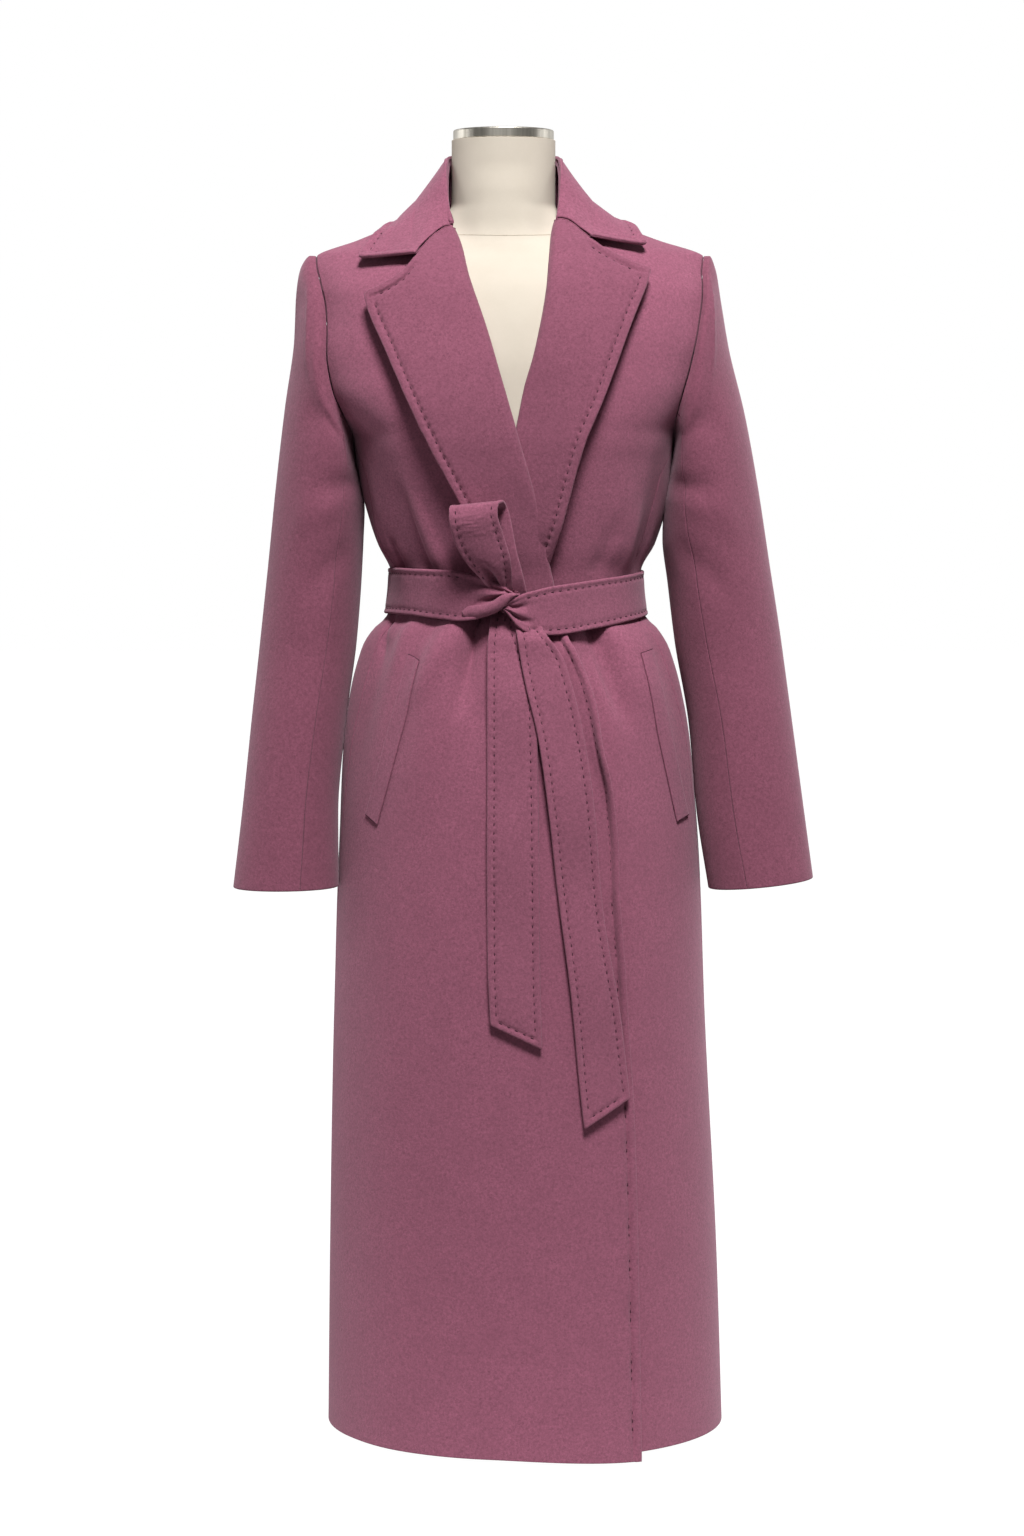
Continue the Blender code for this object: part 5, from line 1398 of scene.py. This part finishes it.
def make_form():
    """The dress form with its cap, and the stand"""
    top = CAP_Z - SEAM
    heights = spans((TORSO_FOOT_Z, FORM_SPLIT_Z, top - FORM_EDGE, top), (*FORM_ROWS, 2))
    shrinks = FOOT_IN * (1 - step_up(heights, TORSO_FOOT_Z, FOOT_END_Z)) ** FOOT_POWER + slimmer(heights)
    lathe("form_torso", [form_ring(z, shrink) for z, shrink in zip(heights, shrinks)], LINEN)
    seam_line()
    radius = FORM_NECK - EDGE_CUT
    cap = list(zip(radius - CAP_FOOT["in"], CAP_Z + CAP_FOOT["up"]))
    cap += [(radius, CAP_TOP_Z - EDGE_CUT - CAP_LINE)] + bent_edge(radius, CAP_TOP_Z)
    cap += [(radius * share, CAP_TOP_Z) for share in CAP_TOP_SHARES] + [(CAP_TIP, CAP_TOP_Z)]
    lathe("form_cap", [circle(r, NECK_X, z) for r, z in cap], METAL)
    levels = np.linspace(BASE_TOP + SEAM, TORSO_FOOT_Z - SEAM, POLE_ROWS)
    lathe("stand_pole", [circle(POLE_RADIUS, 0, z, POLE_SIDES) for z in levels], STAND)
    base = [*BASE_FOOT, *bent_edge(BASE_RADIUS, BASE_EDGE), *BASE_HILL]
    lathe("stand_base", [circle(r, 0, z) for r, z in base], STAND)


# Colours, dark and light where there are two
LINEN_TONES = ((0.480, 0.427, 0.358), (0.500, 0.447, 0.378))
LINEN_SLUB = (0.52, 0.465, 0.39)
NICKEL_TONES = ((0.30, 0.28, 0.24), (0.58, 0.55, 0.49))
STEEL_TONES = ((0.018, 0.018, 0.019), (0.040, 0.040, 0.042))
THREAD_TONES = ((0.050, 0.014, 0.026), (0.100, 0.030, 0.052))
# The form's neck seam: a darker linen colour that paints the shade of the seam's groove
SEAM_GROOVE_SHADE_COLOUR = (0.42, 0.36, 0.28)
SHEEN_COLOUR = (0.95, 0.72, 0.82, 1.0)
PAPER_COLOUR = (0.10, 0.10, 0.10, 1.0)
WHITE = (1.0, 1.0, 1.0, 1.0)
# The floor's own light grows from front to back over this stretch
PAPER_GLOW = (-0.58, -0.37)
# Noises: waves to the metre, detail, roughness, distortion
FIBRE_NOISE = (430, 5, 0.70, 0.6)
FLECK_NOISE = (190, 3, 0.60, 1.2)
TONE_NOISE = (26, 3, 0.55)
FELT_NOISE = (150, 3, 0.6, 0.4)
FUZZ_NOISE = (620, 4, 0.65, 0.5)
LINEN_NOISE = (40, 4)
SLUB_NOISE = (420,)
NICKEL_NOISE = (6, 4)
STEEL_NOISE = (900,)
THREAD_NOISE = (1400,)
SEAM_GROOVE_NOISE = (300,)
# The ranges of noise that show, and what they are moved to
FIBRE_SPAN = (0.28, 0.72)
FLECK_SPAN = (0.50, 0.72, 0.0, 0.30)
TONE_SPAN = (0.30, 0.70, 0.0, 0.30)
SLUB_SPAN = (0.40, 0.72, 0.0, 0.25)
# Bumps: strength, and depth in metres
FELT_BUMP = (0.30, 0.0012)
FUZZ_BUMP = (0.45, 0.0005)
WEAVE_BUMP = (0.10, 0.0003)
NICKEL_BUMP = (0.15, 0.0002)
STEEL_BUMP = (0.25, 0.0002)
# Shares of the wool's colour in its fibres, dark and light, in its flecks and in its clouds
WOOL_SHARES = (0.62, 1.36, 1.40, 0.80)
SEAM_GROOVE_SHARES = (0.85, 1.1)
# The nickel's marks are drawn long by this scale
NICKEL_MARKS = (34.0, 1.0, 1.0)
WEAVE = {"Scale": 330, "Distortion": 1.5, "Detail": 2}
# Sockets of a mix node when it mixes colours
MIX_FACTOR = 0
MIX_COLOURS = (6, 7)
MIX_RESULT = 2


def fill(node, **values):
    """Set some inputs of a node by their names"""
    for name, value in values.items():
        node.inputs[name.replace("_", " ")].default_value = value
    return node


def add_node(tree, kind, **values):
    return fill(tree.nodes.new(kind), **values)


def noise(tree, place, scale, detail=3, rough=0.6, distortion=0.0):
    """Noise from 0 to 1 at each place; the scale is in waves to the metre"""
    made = add_node(tree, "ShaderNodeTexNoise", Scale=scale, Detail=detail, Roughness=rough,
                    Distortion=distortion)
    tree.links.new(place, made.inputs["Vector"])
    return made.outputs["Fac"]


def spread(tree, value, low=0.30, high=0.70, to_low=0.0, to_high=1.0):
    """A value moved from one range to another, and held within it"""
    made = add_node(tree, "ShaderNodeMapRange", From_Min=low, From_Max=high, To_Min=to_low, To_Max=to_high)
    tree.links.new(value, made.inputs["Value"])
    return made.outputs["Result"]


def mix(tree, factor, first, second):
    """Colour between two colours, each a tuple or the output of a node"""
    made = tree.nodes.new("ShaderNodeMix")
    made.data_type = "RGBA"
    tree.links.new(factor, made.inputs[MIX_FACTOR])
    for socket, colour in zip(MIX_COLOURS, (first, second)):
        if isinstance(colour, tuple):
            made.inputs[socket].default_value = (*colour, 1.0)
        else:
            tree.links.new(colour, made.inputs[socket])
    return made.outputs[MIX_RESULT]


def bump(tree, height, strength, distance, below=None):
    """Normals tilted by a height, on top of those below"""
    made = add_node(tree, "ShaderNodeBump", Strength=strength, Distance=distance)
    tree.links.new(height, made.inputs["Height"])
    if below is not None:
        tree.links.new(below, made.inputs["Normal"])
    return made.outputs["Normal"]


def material(name, **values):
    made = bpy.data.materials.new(name)
    made.use_nodes = True
    tree = made.node_tree
    shader = fill(tree.nodes["Principled BSDF"], **values)
    place = tree.nodes.new("ShaderNodeTexCoord").outputs["Object"]
    return made, tree, shader, place


def paint(tree, shader, colour, normal=None):
    tree.links.new(colour, shader.inputs["Base Color"])
    if normal is not None:
        tree.links.new(normal, shader.inputs["Normal"])


def toned(colour, share):
    return tuple(min(1.0, c * share) for c in colour)


def wool(name, colour):
    """Felted wool cloth: short lying fibres, a soft uneven tone and a light sheen"""
    made, tree, shader, place = material(name, Roughness=0.93, Sheen_Weight=0.16, Sheen_Roughness=0.55,
                                         Sheen_Tint=SHEEN_COLOUR, Specular_IOR_Level=0.15)
    dark, light, fleck, cloud = (toned(colour, share) for share in WOOL_SHARES)
    tone = mix(tree, spread(tree, noise(tree, place, *FIBRE_NOISE), *FIBRE_SPAN), dark, light)
    tone = mix(tree, spread(tree, noise(tree, place, *FLECK_NOISE), *FLECK_SPAN), tone, fleck)
    tone = mix(tree, spread(tree, noise(tree, place, *TONE_NOISE), *TONE_SPAN), tone, cloud)
    felt = bump(tree, noise(tree, place, *FELT_NOISE), *FELT_BUMP)
    paint(tree, shader, tone, bump(tree, noise(tree, place, *FUZZ_NOISE), *FUZZ_BUMP, felt))
    return made


def linen(name):
    """Plain woven cover of the dress form"""
    made, tree, shader, place = material(name, Roughness=0.88, Specular_IOR_Level=0.2)
    cloud = spread(tree, noise(tree, place, *LINEN_NOISE))
    slub = spread(tree, noise(tree, place, *SLUB_NOISE), *SLUB_SPAN)
    weave = None
    for way in "XZ":
        wave = add_node(tree, "ShaderNodeTexWave", **WEAVE)
        wave.bands_direction = way
        tree.links.new(place, wave.inputs["Vector"])
        weave = bump(tree, wave.outputs["Fac"], *WEAVE_BUMP, weave)
    paint(tree, shader, mix(tree, slub, mix(tree, cloud, *LINEN_TONES), LINEN_SLUB), weave)
    return made


def brushed(name):
    """Nickel with fine upright marks on its rim"""
    made, tree, shader, place = material(name, Roughness=0.42, Metallic=1.0)
    squash = add_node(tree, "ShaderNodeMapping", Scale=NICKEL_MARKS)
    tree.links.new(place, squash.inputs["Vector"])
    marks = spread(tree, noise(tree, squash.outputs["Vector"], *NICKEL_NOISE))
    paint(tree, shader, mix(tree, marks, *NICKEL_TONES), bump(tree, marks, *NICKEL_BUMP))
    return made


def coated(name):
    """Dark powder-coated steel"""
    made, tree, shader, place = material(name, Roughness=0.55)
    grain = spread(tree, noise(tree, place, *STEEL_NOISE))
    paint(tree, shader, mix(tree, grain, *STEEL_TONES), bump(tree, grain, *STEEL_BUMP))
    return made


def thread(name):
    """Sewing thread, darker than the cloth"""
    made, tree, shader, place = material(name, Roughness=0.70, Specular_IOR_Level=0.2)
    paint(tree, shader, mix(tree, spread(tree, noise(tree, place, *THREAD_NOISE)), *THREAD_TONES))
    return made


def plain(name, colour):
    """A matt colour with a slight cloud"""
    made, tree, shader, place = material(name, Roughness=0.90)
    cloud = spread(tree, noise(tree, place, *SEAM_GROOVE_NOISE))
    paint(tree, shader, mix(tree, cloud, *(toned(colour, share) for share in SEAM_GROOVE_SHARES)))
    return made


def paper(name):
    """White studio paper, brightest under and behind the object"""
    made, tree, shader, place = material(name, Roughness=0.95, Base_Color=PAPER_COLOUR,
                                         Specular_IOR_Level=0.0, Emission_Color=WHITE)
    apart = tree.nodes.new("ShaderNodeSeparateXYZ")
    tree.links.new(place, apart.inputs["Vector"])
    tree.links.new(spread(tree, apart.outputs["Y"], *PAPER_GLOW), shader.inputs["Emission Strength"])
    return made


CAMERA_AT = (0.0, -3.6, 1.02)
CAMERA_TILT = math.radians(90 - 5.2)
LENS = 83.16
SENSOR = 36.0
FLOOR_HALF = 14.0
# Light from the world: how strong, and between which directions it grows
WORLD_RANGE = (0.05, 1.0)
WORLD_TURN = (0.22, 0.85)
# Lamps: name, place, aim, size, power
LIGHTS = [
    ("key", (0.40, -2.60, 4.60), (0.0, 0.0, 0.80), 1.2, 385.0),
    ("fill", (-1.4, -3.4, 2.0), (0.0, 0.0, 0.8), 1.6, 8.0),
    ("side_right", (-2.4, 0.60, 1.30), (0.0, 0.0, 1.0), 1.2, 16.0),
    ("side_left", (2.4, 0.60, 1.30), (0.0, 0.0, 1.0), 1.2, 13.0),
]


def make_stage():
    """Camera, floor, world and lamps"""
    scene = bpy.context.scene
    camera = bpy.data.cameras.new("camera")
    camera.sensor_fit = "VERTICAL"
    camera.sensor_height = SENSOR
    camera.lens = LENS
    eye = bpy.data.objects.new("camera", camera)
    eye.location = CAMERA_AT
    eye.rotation_euler = (CAMERA_TILT, 0.0, 0.0)
    scene.collection.objects.link(eye)
    scene.camera = eye
    mesh = bpy.data.meshes.new("floor")
    corners = [(x * FLOOR_HALF, y * FLOOR_HALF, 0) for x, y in ((-1, -1), (1, -1), (1, 1), (-1, 1))]
    mesh.from_pydata(corners, [], [(0, 1, 2, 3)])
    mesh.materials.append(paper("floor_paper"))
    floor = bpy.data.objects.new("floor", mesh)
    scene.collection.objects.link(floor)
    world = bpy.data.worlds.new("studio")
    world.use_nodes = True
    tree = world.node_tree
    apart = tree.nodes.new("ShaderNodeSeparateXYZ")
    tree.links.new(tree.nodes.new("ShaderNodeTexCoord").outputs["Generated"], apart.inputs["Vector"])
    sky = fill(tree.nodes["Background"], Color=WHITE)
    tree.links.new(spread(tree, apart.outputs["Y"], *WORLD_TURN, *WORLD_RANGE), sky.inputs["Strength"])
    scene.world = world
    for name, at, aim, size, power in LIGHTS:
        lamp = bpy.data.lights.new(name, "AREA")
        lamp.shape = "SQUARE"
        lamp.size = size
        lamp.energy = power
        made = bpy.data.objects.new(name, lamp)
        made.location = at
        x, y, z = np.array(aim) - np.array(at)
        made.rotation_euler = (math.atan2(math.hypot(x, y), -z), 0.0, math.atan2(y, x) - QUARTER)
        scene.collection.objects.link(made)
    scene.view_settings.view_transform = "Standard"


WOOL = wool("wool_cloth", (0.228, 0.072, 0.115))
# A darker copy of the wool for the sleeves: painted shade, as the hanging sleeves catch less light
WOOL_SLEEVE_SHADE = wool("wool_sleeve_painted_shade", (0.184, 0.057, 0.091))
WOOL_TRIM = wool("wool_trim_cloth", (0.222, 0.072, 0.114))
# A darker copy of the wool for the lapels: painted shade
WOOL_LAPEL_SHADE = wool("wool_lapel_painted_shade", (0.190, 0.060, 0.096))
# The darkest copy of the wool: painted shade on the under pieces of the sleeves, which lie in the shade of
# the body, and on the cord in the collar's seam groove
WOOL_DEEP_SHADE = wool("wool_deep_painted_shade", (0.168, 0.052, 0.083))
WOOL_BELT = wool("wool_belt_cloth", (0.218, 0.070, 0.111))
LINEN = linen("linen_cover")
METAL = brushed("brushed_nickel")
STAND = coated("coated_steel")
THREAD = thread("sewing_thread")
# Dark wool for the cords deep in the armhole gaps: painted shade of those gaps
SEAM_SHADE_WOOL = wool("wool_seam_painted_shade", (0.118, 0.036, 0.059))
# The neck seam's darker colour is painted shade of its groove
SEAM_GROOVE_SHADE = plain("seam_line", SEAM_GROOVE_SHADE_COLOUR)

make_stage()
make_fronts()
make_lapels()
make_sleeves()
make_collar()
make_welts()
make_belt()
make_knot()
make_bow()
make_tails()
make_form()
